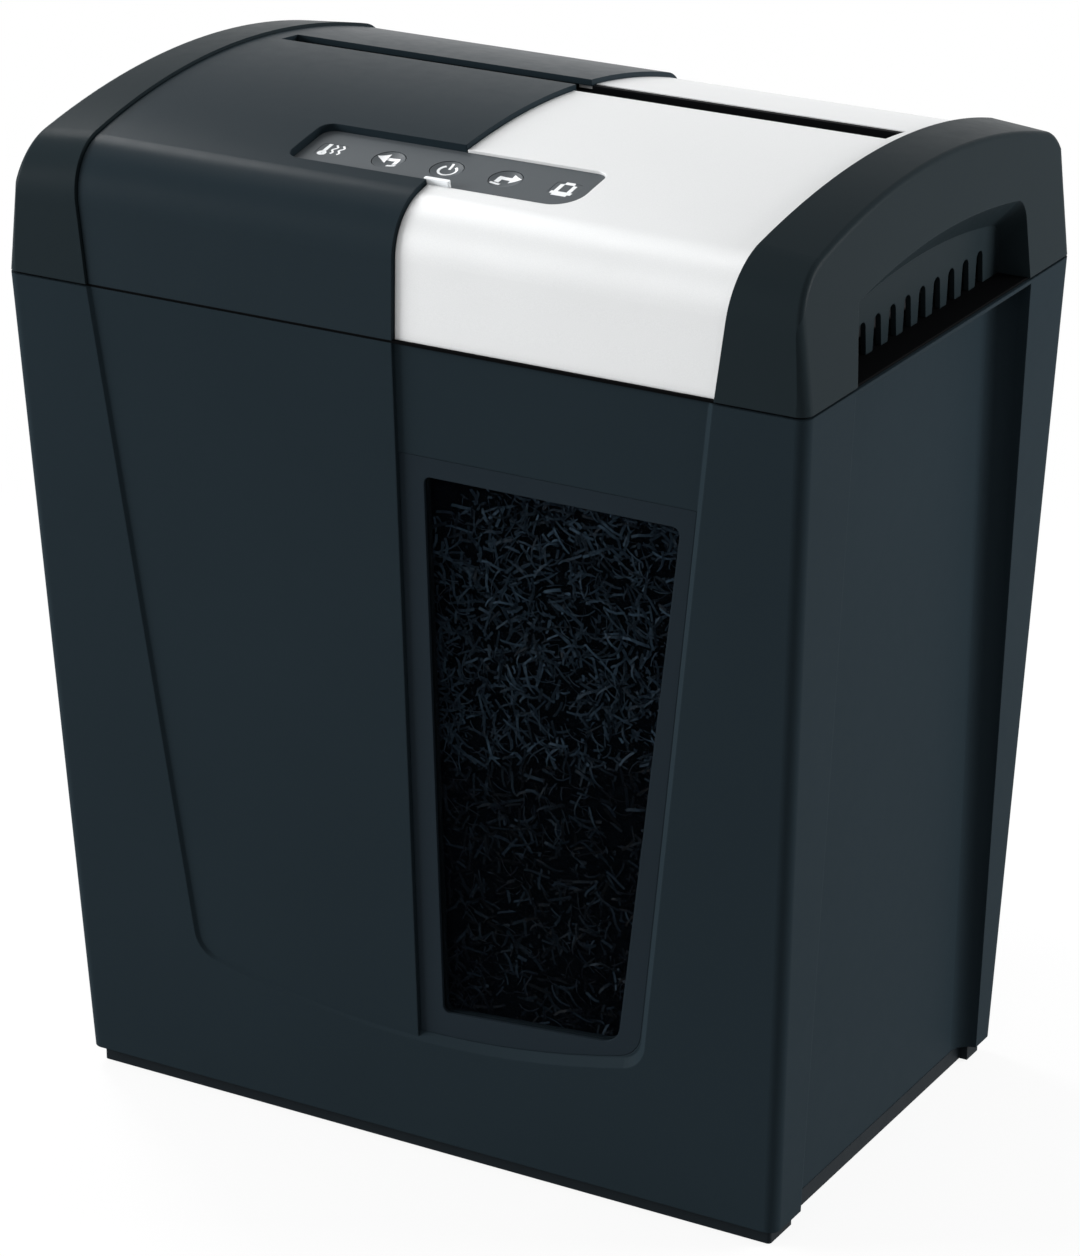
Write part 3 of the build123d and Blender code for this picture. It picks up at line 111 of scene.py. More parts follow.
def colour_ramp(tree, factor, low, high):
    """Colour that runs from one (position, colour) stop to another with a factor."""
    ramp = tree.nodes.new("ShaderNodeValToRGB")
    for element, (position, colour) in zip(ramp.color_ramp.elements, (low, high)):
        element.position = position
        element.color = (*colour, 1.0)
    tree.links.new(factor, ramp.inputs["Fac"])
    return ramp.outputs["Color"]


def map_range(tree, value, start, end, low, high):
    """A value's span from start to end, mapped to a span from low to high."""
    span = tree.nodes.new("ShaderNodeMapRange")
    span.inputs["From Min"].default_value = start
    span.inputs["From Max"].default_value = end
    span.inputs["To Min"].default_value = low
    span.inputs["To Max"].default_value = high
    tree.links.new(value, span.inputs["Value"])
    return span.outputs["Result"]


def vary_colour(tree, shader, colour, amount, factor):
    """Base colour that drifts by an amount either way with a factor."""
    darker, lighter = [[min(part * gain, 1.0) for part in colour] for gain in (1 - amount, 1 + amount)]
    drift = colour_ramp(tree, factor, (NOISE_LOW, darker), (NOISE_HIGH, lighter))
    tree.links.new(drift, shader.inputs["Base Color"])


def vary_roughness(tree, shader, roughness, amount, factor):
    """Roughness that drifts by an amount either way with a factor."""
    drift = map_range(tree, factor, NOISE_LOW, NOISE_HIGH, roughness - amount, roughness + amount)
    tree.links.new(drift, shader.inputs["Roughness"])


def shape_normal(tree, shader, edge, height, depth, strength):
    """Softens edges over a radius and adds relief of a depth from a height."""
    normal = None
    if edge:
        bevel = tree.nodes.new("ShaderNodeBevel")
        bevel.samples = 4
        bevel.inputs["Radius"].default_value = edge
        normal = bevel.outputs["Normal"]
    if depth:
        bump = tree.nodes.new("ShaderNodeBump")
        bump.inputs["Distance"].default_value = depth
        bump.inputs["Strength"].default_value = strength
        tree.links.new(height, bump.inputs["Height"])
        if normal:
            tree.links.new(normal, bump.inputs["Normal"])
        normal = bump.outputs["Normal"]
    if normal:
        tree.links.new(normal, shader.inputs["Normal"])


# Materials. A noise scale is high where its marks are fine.

def moulded(name, colour, roughness=0.5, specular=0.3, grain=0.02, edge=0.5):
    """Moulded plastic with a fine spark-eroded grain; grain depth and edge radius in millimetres."""
    material, tree, shader = new_material(name)
    tone, gloss, sparks = noise(tree, 9.0), noise(tree, 160.0), noise(tree, 2200.0, detail=2.0)
    shader.inputs["Specular IOR Level"].default_value = specular
    vary_colour(tree, shader, colour, 0.03, tone)
    vary_roughness(tree, shader, roughness, 0.02, gloss)
    shape_normal(tree, shader, edge * MM, sparks, grain * MM, strength=0.5)
    return material


def metal(name, colour, roughness=0.35, stretch=(1.0, 1.0, 1.0), relief=0.01, edge=0.2):
    """Bare or plated metal, with drawing or turning marks along the axis that is stretched least."""
    material, tree, shader = new_material(name)
    tone, marks = noise(tree, 25.0), noise(tree, 300.0, stretch=stretch)
    shader.inputs["Metallic"].default_value = 1.0
    vary_colour(tree, shader, colour, 0.08, tone)
    vary_roughness(tree, shader, roughness, 0.08, marks)
    shape_normal(tree, shader, edge * MM, marks, relief * MM, strength=0.4)
    return material


def silver_paint():
    """Satin silver paint over plastic, with fine flake."""
    material, tree, shader = new_material("silver_paint")
    flake, gloss, peel = noise(tree, 3200.0, detail=1.0), noise(tree, 40.0), noise(tree, 2600.0, detail=2.0)
    shader.inputs["Metallic"].default_value = 0.08
    shader.inputs["Specular IOR Level"].default_value = 0.5
    vary_colour(tree, shader, (0.68, 0.69, 0.695), 0.03, flake)
    vary_roughness(tree, shader, 0.36, 0.03, gloss)
    shape_normal(tree, shader, 0.6 * MM, peel, 0.008 * MM, strength=0.4)
    return material


def smoked_lens():
    """Smoked see-through plastic."""
    material, tree, shader = new_material("smoked_lens")
    gloss, ripple = noise(tree, 30.0), noise(tree, 14.0, detail=1.0)
    shader.inputs["Base Color"].default_value = (0.001, 0.0015, 0.0025, 1.0)
    shader.inputs["Specular IOR Level"].default_value = 0.01
    shader.inputs["Alpha"].default_value = 0.25
    vary_roughness(tree, shader, 0.12, 0.02, gloss)
    shape_normal(tree, shader, 0.0, ripple, 0.05 * MM, strength=0.3)
    return material


def heap_painted_shade():
    """Paper under the loose strips, painted near black as the shade that fills the heap's deep gaps."""
    material, tree, shader = new_material("heap_painted_shade")
    tone, gloss, lumps = noise(tree, 260.0), noise(tree, 80.0), noise(tree, 500.0)
    shader.inputs["Specular IOR Level"].default_value = 0.0
    # near-black colour: painted shade of the gaps deep in the heap, not the paper's own colour
    vary_colour(tree, shader, (0.0012, 0.0018, 0.0025), 0.5, tone)
    vary_roughness(tree, shader, 0.9, 0.05, gloss)
    shape_normal(tree, shader, 0.0, lumps, 0.6 * MM, strength=0.8)
    return material


def printed_paper():
    """Paper shreds: each strip has its own shade, with smudges of print."""
    material, tree, shader = new_material("printed_shreds")
    print_marks, gloss, crumple = noise(tree, 500.0, detail=2.0), noise(tree, 80.0), noise(tree, 900.0)
    shader.inputs["Specular IOR Level"].default_value = 0.05
    shade = tree.nodes.new("ShaderNodeAttribute")
    shade.attribute_name = "shade"
    smudges = colour_ramp(tree, print_marks, (0.35, (0.25, 0.26, 0.3)), (0.6, (1.0, 1.0, 1.0)))
    mix = tree.nodes.new("ShaderNodeMix")
    mix.data_type = "RGBA"
    mix.blend_type = "MULTIPLY"
    mix.inputs["Factor"].default_value = 0.6
    tree.links.new(shade.outputs["Color"], mix.inputs["A"])
    tree.links.new(smudges, mix.inputs["B"])
    tree.links.new(mix.outputs["Result"], shader.inputs["Base Color"])
    vary_roughness(tree, shader, 0.55, 0.1, gloss)
    shape_normal(tree, shader, 0.0, crumple, 0.05 * MM, strength=0.5)
    return material


def circuit_board():
    """Green solder mask with faint copper tracks under it."""
    material, tree, shader = new_material("circuit_board")
    gloss = noise(tree, 70.0)
    place = tree.nodes.new("ShaderNodeTexCoord")
    tracks = tree.nodes.new("ShaderNodeTexVoronoi")
    tracks.inputs["Scale"].default_value = 160.0
    tracks.feature = "DISTANCE_TO_EDGE"
    tree.links.new(place.outputs["Object"], tracks.inputs["Vector"])
    distance = tracks.outputs["Distance"]
    mask = colour_ramp(tree, distance, (0.04, (0.05, 0.24, 0.08)), (0.08, (0.015, 0.11, 0.035)))
    tree.links.new(mask, shader.inputs["Base Color"])
    vary_roughness(tree, shader, 0.35, 0.05, gloss)
    shape_normal(tree, shader, 0.0, distance, 0.03 * MM, strength=0.6)
    return material


def rubber():
    """Dull black rubber, slightly dusty."""
    material, tree, shader = new_material("pad_rubber")
    dust, gloss, pores = noise(tree, 60.0), noise(tree, 90.0), noise(tree, 800.0)
    shader.inputs["Specular IOR Level"].default_value = 0.25
    vary_colour(tree, shader, BLACK, 0.25, dust)
    vary_roughness(tree, shader, 0.8, 0.08, gloss)
    shape_normal(tree, shader, 0.3 * MM, pores, 0.04 * MM, strength=0.5)
    return material


def white_print():
    """White ink of the marks."""
    material, tree, shader = new_material("white_print")
    tone, gloss = noise(tree, 900.0), noise(tree, 200.0)
    vary_colour(tree, shader, (0.82, 0.84, 0.86), 0.04, tone)
    vary_roughness(tree, shader, 0.45, 0.05, gloss)
    return material


# Finishes of the CAD nodes

finishes = {
    moulded("bin_plastic", SLATE, roughness=0.5, specular=0.009, edge=0.8): ["bin_shell"],
    moulded("window_frame_plastic", (0.0122, 0.0185, 0.0242), roughness=0.48, specular=0.02): [
        "window_frame"],
    moulded("cap_plastic", (0.0124, 0.0184, 0.0216), roughness=0.33, specular=0.012, grain=0.015): [
        "left_end_cap", "right_end_cap"],
    moulded("black_panel_plastic", SLATE, roughness=0.3, specular=0.024, grain=0.015): ["black_top_panel"],
    silver_paint(): ["silver_top_panel"],
    moulded("strip_plastic", (0.074, 0.084, 0.092), roughness=0.42, specular=0.07, grain=0.01, edge=0.15): [
        "control_fascia", "reverse_button", "power_button", "forward_button"],
    moulded("indicator_plastic", (0.076, 0.086, 0.094), roughness=0.35, specular=0.08, grain=0.0,
            edge=0.1): ["indicator_lenses"],
    moulded("light_bar_plastic", (0.85, 0.88, 0.9), roughness=0.3, specular=0.5, grain=0.0, edge=0.1): [
        "standby_light_bar"],
    moulded("throat_plastic", (0.003, 0.0034, 0.004), roughness=0.6, specular=0.02): ["paper_throat"],
    moulded("base_plastic", (0.006, 0.009, 0.0115), roughness=0.55, specular=0.05): ["base_skirt"],
    moulded("tray_plastic", (0.002, 0.0022, 0.0025), roughness=0.7, specular=0.01): ["head_tray"],
    rubber(): ["rubber_feet"],
    smoked_lens(): ["window_lens"],
    circuit_board(): ["control_board", "power_board"],
    moulded("switch_plastic", (0.02, 0.02, 0.022), roughness=0.4, specular=0.4, edge=0.1): [
        "reverse_switch_stem", "power_switch_stem", "forward_switch_stem", "button_switches",
        "paper_sensors", "interlock_switch", "interlock_plunger", "relay", "thermal_cutout", "cord_gland"],
    moulded("nylon", (0.62, 0.6, 0.54), roughness=0.45, specular=0.4, edge=0.2): ["first_gear"],
    moulded("black_nylon", BLACK, edge=0.2): ["front_stripper_comb", "rear_stripper_comb"],
    moulded("fan_plastic", (0.02, 0.02, 0.02), specular=0.4, edge=0.2): ["cooling_fan"],
    moulded("transformer_tape", (0.6, 0.4, 0.07), roughness=0.4, specular=0.5, edge=0.2): ["transformer"],
    moulded("capacitor_sleeve", (0.01, 0.014, 0.05), roughness=0.3, specular=0.5, edge=0.3): [
        "smoothing_capacitor"],
    metal("blackened_plate", (0.05, 0.05, 0.054), roughness=0.42): [
        "left_side_plate", "right_side_plate", "gearbox_plate", "gearbox_spacers"],
    metal("zinc_plate", (0.56, 0.57, 0.58), roughness=0.36): ["tie_bars"],
    metal("screw_zinc", (0.62, 0.61, 0.56), roughness=0.3, edge=0.1): [
        "cover_screws", "block_screws", "control_board_screws", "power_board_screws", "motor_screws",
        "gear_pins"],
    metal("cutter_steel", (0.36, 0.36, 0.37), roughness=0.3, stretch=(1.0, 12.0, 12.0)): [
        "front_cutter", "rear_cutter", "motor_rotor"],
    metal("gear_steel", (0.33, 0.32, 0.31), roughness=0.4, relief=0.02): [
        "front_sync_gear", "rear_sync_gear", "drive_gear", "second_gear", "motor_pinion"],
    metal("motor_steel", (0.45, 0.46, 0.47), roughness=0.32, stretch=(12.0, 1.0, 1.0)): [
        "motor_case", "motor_end_bell"],
    metal("sintered_bronze", (0.48, 0.3, 0.15), roughness=0.45, relief=0.03): ["cutter_bushings"],
}

for finish, names in finishes.items():
    for name in names:
        nodes[name].data.materials.clear()
        nodes[name].data.materials.append(finish)


def piece(name, mesh, body, finish):
    """An object of a mesh that rides on a CAD body."""
    thing = bpy.data.objects.new(name, mesh)
    collection.objects.link(thing)
    mesh.materials.append(finish)
    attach(thing, body)
    return thing


# Shreds in the bin

STRIP_THICKNESS = 0.12 * MM
STATIONS = (-0.5, -0.25, 0.0, 0.25, 0.5)  # rings of a strip, as shares of its length
SHRED_COLOUR = (0.029, 0.051, 0.074)
MIXED_SHADES = (0.15, 0.3, 0.5, 0.7, 1.0, 1.0, 1.5, 2.4)  # levels that a strip's shade is drawn from
EVEN_SHADES = (0.35, 0.6, 0.8, 1.0, 1.25, 1.7)
SHRED_TILT = 0.25  # how far a strip leans out of the heap's surface
SHRED_ROLL = 1.1  # turn about its own length, in radians
SIDE_BEND = 0.8  # sideways bend, as a share of the curl

WINDOW_TRIES = 13000
WINDOW_REACH = 0.56  # half the width that is covered, as a share of the lens
WINDOW_BOTTOM, WINDOW_TOP = -0.53, 0.5  # heights that are covered, as shares of the lens
NEAREST = 6.6 * MM  # from the lens's face back to the first strips
LAYER = 8.5 * MM  # depth of the strips behind them
FRONT_BIAS = 1.5  # above 1, more of them lie near the front
CORNER_WIDTH, CORNER_HEIGHT = 30 * MM, 28 * MM  # the window's upper left corner stays empty
LOOSE_FROM, LOOSE_LEAN, LOOSE_BLEND = 0.05, 0.1, 0.12  # where the lighter upper strips begin
PACKED_SHARE = 0.6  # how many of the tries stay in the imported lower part
WINDOW_LENGTHS, WINDOW_WIDTHS, WINDOW_CURL = (4.0, 13.0), (0.8, 1.25), 0.9  # millimetres, and a share

TOP_STRIPS = 3600
TOP_SIDE_INSET, TOP_FRONT_INSET, TOP_REAR_INSET = 20 * MM, 12 * MM, 8 * MM
TOP_SINK = 3.2 * MM
TOP_LENGTHS, TOP_WIDTH, TOP_CURL = (8, 12), 1.9, 0.4
DOME = 1.8  # metres: the heap's top falls by the squared distance from its middle over this

CORE_VOXEL = 4 * MM

lens_low, lens_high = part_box("window_lens")
paper_low, paper_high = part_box("shredded_paper")


def front_frame():
    """Centre, up and outward directions of the window's lens, read from its mesh."""
    lens = nodes["window_lens"].data
    front = max(lens.polygons, key=lambda face: face.area if face.normal.y < 0 else 0)
    outward = front.normal.normalized()
    return Vector(front.center), outward.cross(RIGHT).normalized(), outward


window_centre, window_up, window_out = front_frame()


def random_shade(gain, levels):
    """Colour of one strip: blue-black printed paper, at one of some levels, scaled by a gain that also
    carries painted shade for deeper window strips.
    """
    level = gain * rng.choice(levels)
    return (*[level * part for part in SHRED_COLOUR], 1.0)


def random_directions(outward):
    """Random directions along and across a strip that lies nearly square to outward."""
    helper = TOP if abs(outward.z) < 0.9 else Vector((0, 1, 0))
    side = outward.cross(helper).normalized()
    turn = rng.uniform(0, pi)
    along = side * cos(turn) + outward.cross(side) * sin(turn)
    along = (along + outward * rng.uniform(-SHRED_TILT, SHRED_TILT)).normalized()
    across = outward.cross(along).normalized()
    roll = rng.uniform(-SHRED_ROLL, SHRED_ROLL)
    across = (across * cos(roll) + along.cross(across) * sin(roll)).normalized()
    return along, across


def add_strip(strips, centre, directions, length, width, curl, shade):
    """One paper strip, as a thin closed bar that is bent over its stations."""
    vertices, faces, shades = strips
    along, across = directions
    out = along.cross(across).normalized()
    first = len(vertices)
    for place in STATIONS:
        middle = centre + along * (place * length) + out * (curl * length * (0.25 - place * place))
        middle += across * (SIDE_BEND * curl * length * place * abs(place))
        for side, level in ((-0.5, -0.5), (0.5, -0.5), (0.5, 0.5), (-0.5, 0.5)):
            vertices.append(middle + across * (side * width) + out * (level * STRIP_THICKNESS))
            shades.append(shade)
    last = first + 4 * (len(STATIONS) - 1)
    for ring in range(first, last, 4):
        for corner in range(4):
            here, there = ring + corner, ring + (corner + 1) % 4
            faces.append((here, there, there + 4, here + 4))
    faces.append((first + 3, first + 2, first + 1, first))
    faces.append((last, last + 1, last + 2, last + 3))


def add_window_strips(strips):
    """Strips behind the window: packed and dark low down, looser and lighter higher up; strips further
    behind the lens get painted shade.
    """
    width = lens_high.x - lens_low.x
    rise = (lens_high.z - lens_low.z) / window_up.z
    middle = (lens_low + lens_high) / 2
    for _ in range(WINDOW_TRIES):
        u = rng.uniform(-WINDOW_REACH, WINDOW_REACH) * width
        v = rng.uniform(WINDOW_BOTTOM, WINDOW_TOP) * rise
        if (u + 0.5 * width) / CORNER_WIDTH + (0.5 * rise - v) / CORNER_HEIGHT < 1:
            continue
        sunk = rng.random() ** FRONT_BIAS
        on_lens = window_centre + window_up * ((middle.z - window_centre.z) / window_up.z + v)
        centre = Vector((middle.x + u, on_lens.y, on_lens.z)) - window_out * (NEAREST + LAYER * sunk)
        directions = random_directions(window_out)
        length = rng.uniform(*WINDOW_LENGTHS) * MM
        looseness = (v / rise + LOOSE_FROM - LOOSE_LEAN * u / width) / LOOSE_BLEND
        looseness = min(max(looseness, 0.0), 1.0)
        if rng.random() > PACKED_SHARE + (1 - PACKED_SHARE) * looseness:
            continue
        # the gain falls with sunk: painted shade that darkens strips lying further behind the lens
        if looseness > 0.5:
            shade = random_shade(1.0 - 0.3 * sunk, EVEN_SHADES)
        else:
            shade = random_shade(0.34 - 0.2 * sunk, MIXED_SHADES)
        strip_width = rng.uniform(*WINDOW_WIDTHS) * MM
        curl = rng.uniform(-WINDOW_CURL, WINDOW_CURL)
        add_strip(strips, centre, directions, length, strip_width, curl, shade)


def add_top_strips(strips):
    """Strips that lie on the heap's domed top."""
    for _ in range(TOP_STRIPS):
        x = rng.uniform(paper_low.x + TOP_SIDE_INSET, paper_high.x - TOP_SIDE_INSET)
        y = rng.uniform(paper_low.y + TOP_FRONT_INSET, paper_high.y - TOP_REAR_INSET)
        z = paper_high.z - (x * x + y * y) / DOME - TOP_SINK + rng.uniform(-1.5, 1.0) * MM
        directions = random_directions(TOP)
        length = rng.uniform(*TOP_LENGTHS) * MM
        curl = rng.uniform(-TOP_CURL, TOP_CURL)
        shade = random_shade(1.0, MIXED_SHADES)
        add_strip(strips, Vector((x, y, z)), directions, length, TOP_WIDTH * MM, curl, shade)


def shred_strips():
    """Loose strips that cover the heap behind the window and on top."""
    vertices, faces, shades = strips = [], [], []
    add_window_strips(strips)
    add_top_strips(strips)
    mesh = bpy.data.meshes.new("shred_strips")
    mesh.from_pydata(vertices, [], faces)
    colours = mesh.color_attributes.new("shade", "FLOAT_COLOR", "POINT")
    for entry, shade in zip(colours.data, shades):
        entry.color = shade
    return mesh


def heap_core():
    """Lumpy core of the heap under the loose strips."""
    core = bpy.data.objects.new("heap_core", nodes["shredded_paper"].data.copy())
    collection.objects.link(core)
    remesh = core.modifiers.new("remesh", "REMESH")
    remesh.mode = "VOXEL"
    remesh.voxel_size = CORE_VOXEL
    evaluated = core.evaluated_get(bpy.context.evaluated_depsgraph_get())
    mesh = bpy.data.meshes.new_from_object(evaluated)
    bpy.data.objects.remove(core)
    mesh.name = "heap_core"
    mesh.materials.clear()
    shape = bmesh.new()
    shape.from_mesh(mesh)
    shape.normal_update()
    for vertex in shape.verts:
        vertex.co -= vertex.normal * rng.uniform(1.2, 3.0) * MM
    shape.to_mesh(mesh)
    shape.free()
    return mesh


# the core's finish paints the deep shade between the strips
core_piece = piece("heap_core", heap_core(), "bin", heap_painted_shade())
strip_piece = piece("shred_strips", shred_strips(), "bin", printed_paper())
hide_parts("shredded_paper")


# Marks on the control strip, drawn as ribbons along (u, v) paths

MARK_UNIT = 2.1 * MM  # size of one unit of the marks' u and v
RAY_START = 20 * MM  # height above the strip from which a mark is dropped on it
PRINT_LIFT = 0.03 * MM
PRINT_THICKNESS = 0.05 * MM
INDICATOR_INSET = 5.5 * MM  # from the lenses' outer ends to the middles of their marks


def surface_tree(*names):
    """Search tree over the surfaces of CAD nodes."""
    vertices, faces = [], []
    for name in names:
        mesh = nodes[name].data
        first = len(vertices)
        vertices += [vertex.co.copy() for vertex in mesh.vertices]
        faces += [[first + index for index in face.vertices] for face in mesh.polygons]
    return BVHTree.FromPolygons(vertices, faces)


def strip_normal():
    """Outward direction of the control strip, from its upward faces."""
    total = Vector()
    for face in nodes["control_fascia"].data.polygons:
        if face.normal.z > 0.9:
            total += face.normal * face.area
    return total.normalized()


strip_out = strip_normal()
strip_up = strip_out.cross(RIGHT).normalized()


def centre_of(name):
    """Middle of a CAD node's box."""
    low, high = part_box(name)
    return (low + high) / 2


def ribbon(path, width):
    """Quads along a flat path of (u, v) points."""
    rails = []
    for before, (u, v), after in zip(path[:1] + path, path, path[1:] + path[-1:]):
        du, dv = after[0] - before[0], after[1] - before[1]
        size = sqrt(du * du + dv * dv)
        rails.append(((u - dv / size * width / 2, v + du / size * width / 2),
                      (u + dv / size * width / 2, v - du / size * width / 2)))
    return [(*here, *reversed(there)) for here, there in zip(rails, rails[1:])]


def line(*points, steps=6):
    """Path through points with short steps between them."""
    path = [points[0]]
    for (u0, v0), (u1, v1) in zip(points, points[1:]):
        path += [(u0 + (u1 - u0) * k / steps, v0 + (v1 - v0) * k / steps) for k in range(1, steps + 1)]
    return path


def arc(centre, radius, start, end, steps=18):
    """Path round a centre from one angle to another, in degrees."""
    angles = [radians(start + (end - start) * k / steps) for k in range(steps + 1)]
    return [(centre[0] + radius * cos(a), centre[1] + radius * sin(a)) for a in angles]


def arrowhead(tip, half, length, direction, rows=4):
    """Filled arrowhead as rows of quads; direction is -1 for left and 1 for right."""
    def corner(share, side):
        """A corner at a share of the length back from the tip, on one side."""
        return tip[0] - direction * length * share, tip[1] + direction * side * half * share
    shares = [(k / rows, (k + 1) / rows) for k in range(rows)]
    return [(corner(near, 1), corner(near, -1), corner(far, -1), corner(far, 1)) for near, far in shares]


def power_mark():
    """Ring open at the top with a short bar."""
    return ribbon(arc((0, 0), 1.7, 125, 415), 0.5) + ribbon(line((0, 0.6), (0, 2.4)), 0.5)


def arrow_mark(direction):
    """Bent arrow with a small foot bar, pointing left (-1) or right (+1)."""
    shaft = ribbon(line((-1.5 * direction, -1.1), (-1.5 * direction, 0.7), (0.9 * direction, 0.7)), 0.9)
    head = arrowhead((2.8 * direction, 0.7), 1.45, 2.1, direction)
    foot = ribbon(line((-2.3 * direction, -1.8), (-0.4 * direction, -1.8)), 0.7)
    return shaft + head + foot


def heat_mark():
    """Thermometer with two heat waves."""
    bulb = ribbon(arc((-1.2, -1.5), 0.5, 0, 360), 0.8)
    tube = ribbon(line((-1.2, -1.0), (-1.2, 2.1)), 0.75)
    waves = []
    for u in (0.4, 1.8):
        waves += ribbon([(u + 0.3 * sin(k * pi / 4), -1.3 + k * 0.24) for k in range(15)], 0.4)
    return bulb + tube + waves


def bin_mark():
    """Thick bin body with a sheet standing in it."""
    body = ribbon(line((-2.1, -1.7), (2.1, -1.7)), 1.0) + ribbon(line((-1.5, -2.5), (1.5, -2.5)), 0.6)
    sheet = line((-1.3, -1.2), (-1.3, 1.9), (1.3, 1.9), (1.3, -1.2))
    return body + ribbon(sheet, 0.8)


def draped(name, marks, body, tree, finish):
    """Marks given as (origin, quads), laid as a thin raised print on the surfaces of a search tree."""
    shape = bmesh.new()
    for origin, quads in marks:
        for quad in quads:
            corners = []
            for u, v in quad:
                flat = origin + (RIGHT * u + strip_up * v) * MARK_UNIT
                hit, *_ = tree.ray_cast(flat + strip_out * RAY_START, -strip_out)
                corners.append((hit or flat) + strip_out * PRINT_LIFT)
            shape.faces.new([shape.verts.new(corner) for corner in corners])
    bmesh.ops.remove_doubles(shape, verts=shape.verts, dist=0.005 * MM)
    bmesh.ops.recalc_face_normals(shape, faces=shape.faces)
    mesh = bpy.data.meshes.new(name)
    shape.to_mesh(mesh)
    shape.free()
    thing = piece(name, mesh, body, finish)
    solid = thing.modifiers.new("thickness", "SOLIDIFY")
    solid.thickness = PRINT_THICKNESS
    solid.offset = 0.0


ink = white_print()
button_marks = {
    "reverse_button": arrow_mark(-1),
    "power_button": power_mark(),
    "forward_button": arrow_mark(1),
}
for name, quads in button_marks.items():
    draped(name + "_mark", [(centre_of(name), quads)], name, surface_tree(name), ink)

indicators_low, indicators_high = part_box("indicator_lenses")
indicators_middle = centre_of("indicator_lenses")
indicator_marks = [
    (Vector((indicators_low.x + INDICATOR_INSET, *indicators_middle.yz)), heat_mark()),
    (Vector((indicators_high.x - INDICATOR_INSET, *indicators_middle.yz)), bin_mark()),
]
draped("indicator_marks", indicator_marks, "head", surface_tree("indicator_lenses", "control_fascia"),
       ink)


# Floor, light and camera

FLOOR_REACH = 30.0
SHADOW_NEAR, SHADOW_FAR = 0.25, 0.75  # the floor pales between these distances from the middle
WORLD_LEVEL = 0.28
AZIMUTH, ELEVATION, ROLL = radians(29.9106), radians(22.0094), radians(0.1045)
EYE = Vector((0.869958, -1.513400, 0.900559))


def background_rays(tree):
    """One for the rays that show the white background, and zero for those that light the object."""
    path = tree.nodes.new("ShaderNodeLightPath")
    total = path.outputs["Is Camera Ray"]
    for name in ("Is Glossy Ray", "Is Transmission Ray"):
        either = tree.nodes.new("ShaderNodeMath")
        either.operation = "MAXIMUM"
        tree.links.new(total, either.inputs[0])
        tree.links.new(path.outputs[name], either.inputs[1])
        total = either.outputs["Value"]
    return total


def mix_shaders(tree, factor, first, second):
    """One shader that turns into another with a factor."""
    mix = tree.nodes.new("ShaderNodeMixShader")
    tree.links.new(factor, mix.inputs["Fac"])
    tree.links.new(first, mix.inputs[1])
    tree.links.new(second, mix.inputs[2])
    return mix.outputs["Shader"]


def floor_paper():
    """Grey to the light, and to the camera white with the object's shadow."""
    material, tree, shader = new_material("floor_paper")
    shader.inputs["Base Color"].default_value = (0.45, 0.45, 0.45, 1.0)
    shader.inputs["Specular IOR Level"].default_value = 0.0
    shader.inputs["Roughness"].default_value = 0.9
    shadow_catch = tree.nodes.new("ShaderNodeBsdfDiffuse")
    shadow_catch.inputs["Color"].default_value = (0.95, 0.95, 0.95, 1.0)
    glow = tree.nodes.new("ShaderNodeEmission")
    place = tree.nodes.new("ShaderNodeTexCoord")
    distance = tree.nodes.new("ShaderNodeVectorMath")
    distance.operation = "LENGTH"
    tree.links.new(place.outputs["Object"], distance.inputs[0])
    paling = map_range(tree, distance.outputs["Value"], SHADOW_NEAR, SHADOW_FAR, 0.88, 1.0)
    seen = mix_shaders(tree, paling, shadow_catch.outputs["BSDF"], glow.outputs["Emission"])
    surface = mix_shaders(tree, background_rays(tree), shader.outputs["BSDF"], seen)
    tree.links.new(surface, tree.nodes["Material Output"].inputs["Surface"])
    return material


def floor():
    """Plain pale floor that shows the object's shadow near it and is plain white further out."""
    mesh = bpy.data.meshes.new("floor")
    corners = [(x * FLOOR_REACH, y * FLOOR_REACH, 0) for x, y in ((-1, -1), (1, -1), (1, 1), (-1, 1))]
    mesh.from_pydata(corners, [], [(0, 1, 2, 3)])
    mesh.materials.append(floor_paper())
    thing = bpy.data.objects.new("floor", mesh)
    collection.objects.link(thing)


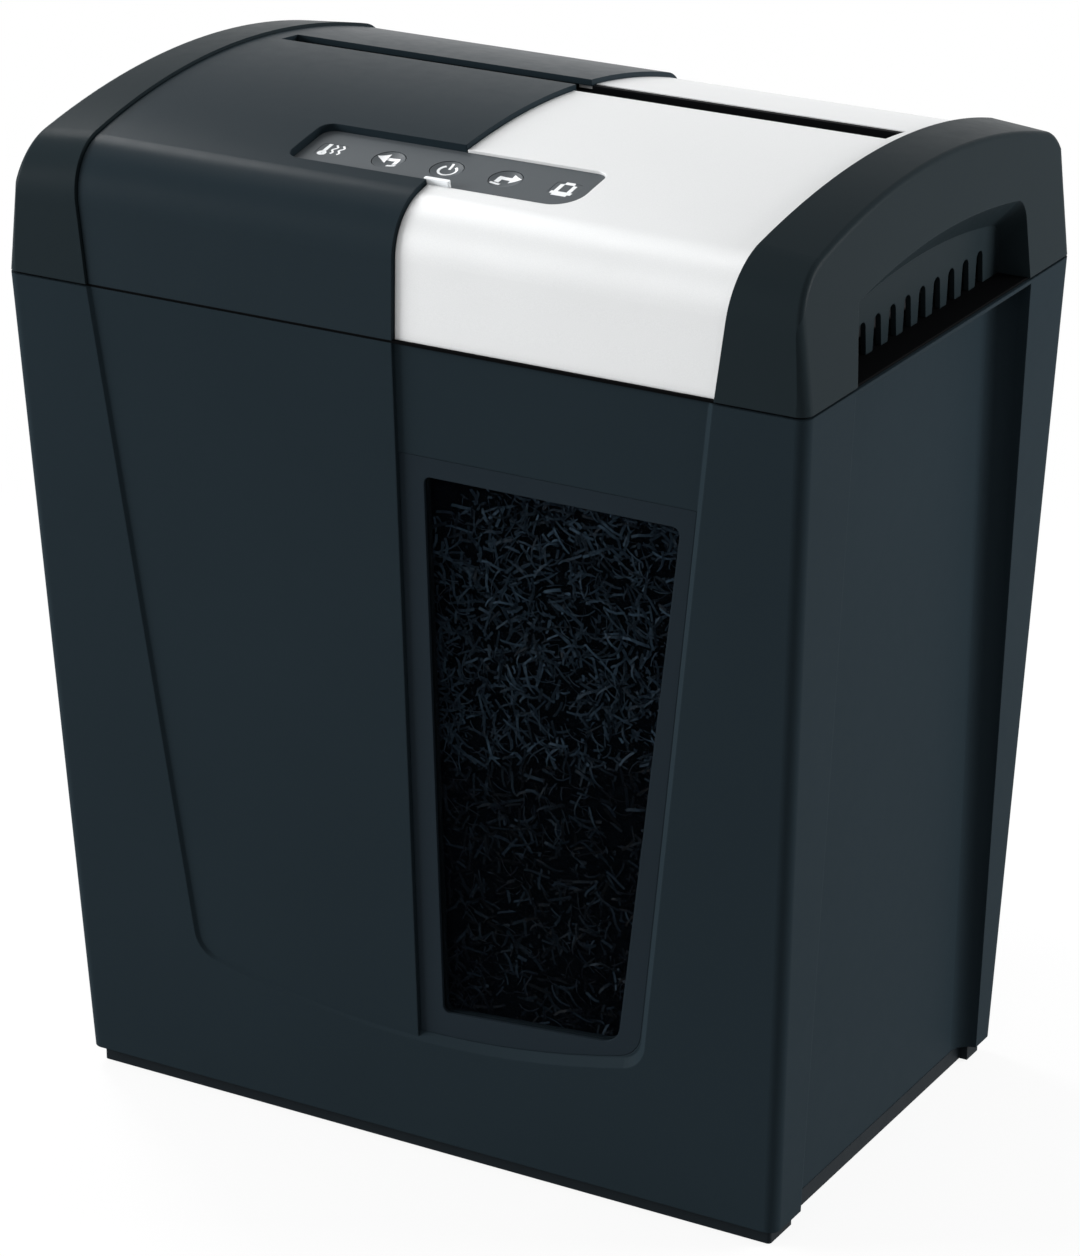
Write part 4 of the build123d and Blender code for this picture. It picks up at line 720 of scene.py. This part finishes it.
def softbox(name, place, target, size, power):
    """Large soft area lamp aimed at a point."""
    data = bpy.data.lights.new(name, "AREA")
    data.shape = "RECTANGLE"
    data.size, data.size_y = size
    data.energy = power
    lamp = bpy.data.objects.new(name, data)
    lamp.location = place
    aim = Vector(target) - Vector(place)
    lamp.rotation_euler = aim.to_track_quat("-Z", "Y").to_euler()
    collection.objects.link(lamp)


def world():
    """White to the camera, glossy and transmitted rays; a plain level for the rest."""
    studio = bpy.data.worlds.new("studio")
    bpy.context.scene.world = studio
    studio.use_nodes = True
    tree = studio.node_tree
    background = tree.nodes["Background"]
    background.inputs["Color"].default_value = (1.0, 1.0, 1.0, 1.0)
    level = map_range(tree, background_rays(tree), 0.0, 1.0, WORLD_LEVEL, 1.0)
    tree.links.new(level, background.inputs["Strength"])


def camera():
    """Camera at the viewing angle: front right and above."""
    data = bpy.data.cameras.new("camera")
    data.sensor_width = 36.0
    data.lens = 133.182
    data.clip_end = 100.0
    eye = bpy.data.objects.new("camera", data)
    back = Vector((sin(AZIMUTH) * cos(ELEVATION), -cos(AZIMUTH) * cos(ELEVATION), sin(ELEVATION)))
    right = Vector((cos(AZIMUTH), sin(AZIMUTH), 0))
    turn = Matrix((right, back.cross(right), back)).transposed().to_4x4() @ Matrix.Rotation(ROLL, 4, "Z")
    eye.matrix_world = Matrix.Translation(EYE) @ turn
    collection.objects.link(eye)
    bpy.context.scene.camera = eye


floor()
world()
camera()
middle_height = (cad_low.z + cad_high.z) / 2
softbox("key_softbox", (-0.85, -0.14, 1.95), (0, 0, cad_high.z), (0.7, 0.6), 3.8)
softbox("glow_softbox", (-0.87, 0.42, 1.25), (-0.1, -0.05, cad_high.z), (0.3, 0.5), 7.5)
softbox("left_softbox", (-2.5, -1.3, 1.0), (0, 0, middle_height), (1.6, 1.2), 115.0)
softbox("front_softbox", (0.3, -2.4, 1.5), (0, 0, middle_height), (2.0, 1.4), 12.0)
softbox("right_softbox", (1.35, 0.8, 0.6), (0, 0, middle_height), (0.8, 0.8), 30.0)
bpy.context.scene.view_settings.view_transform = "Standard"
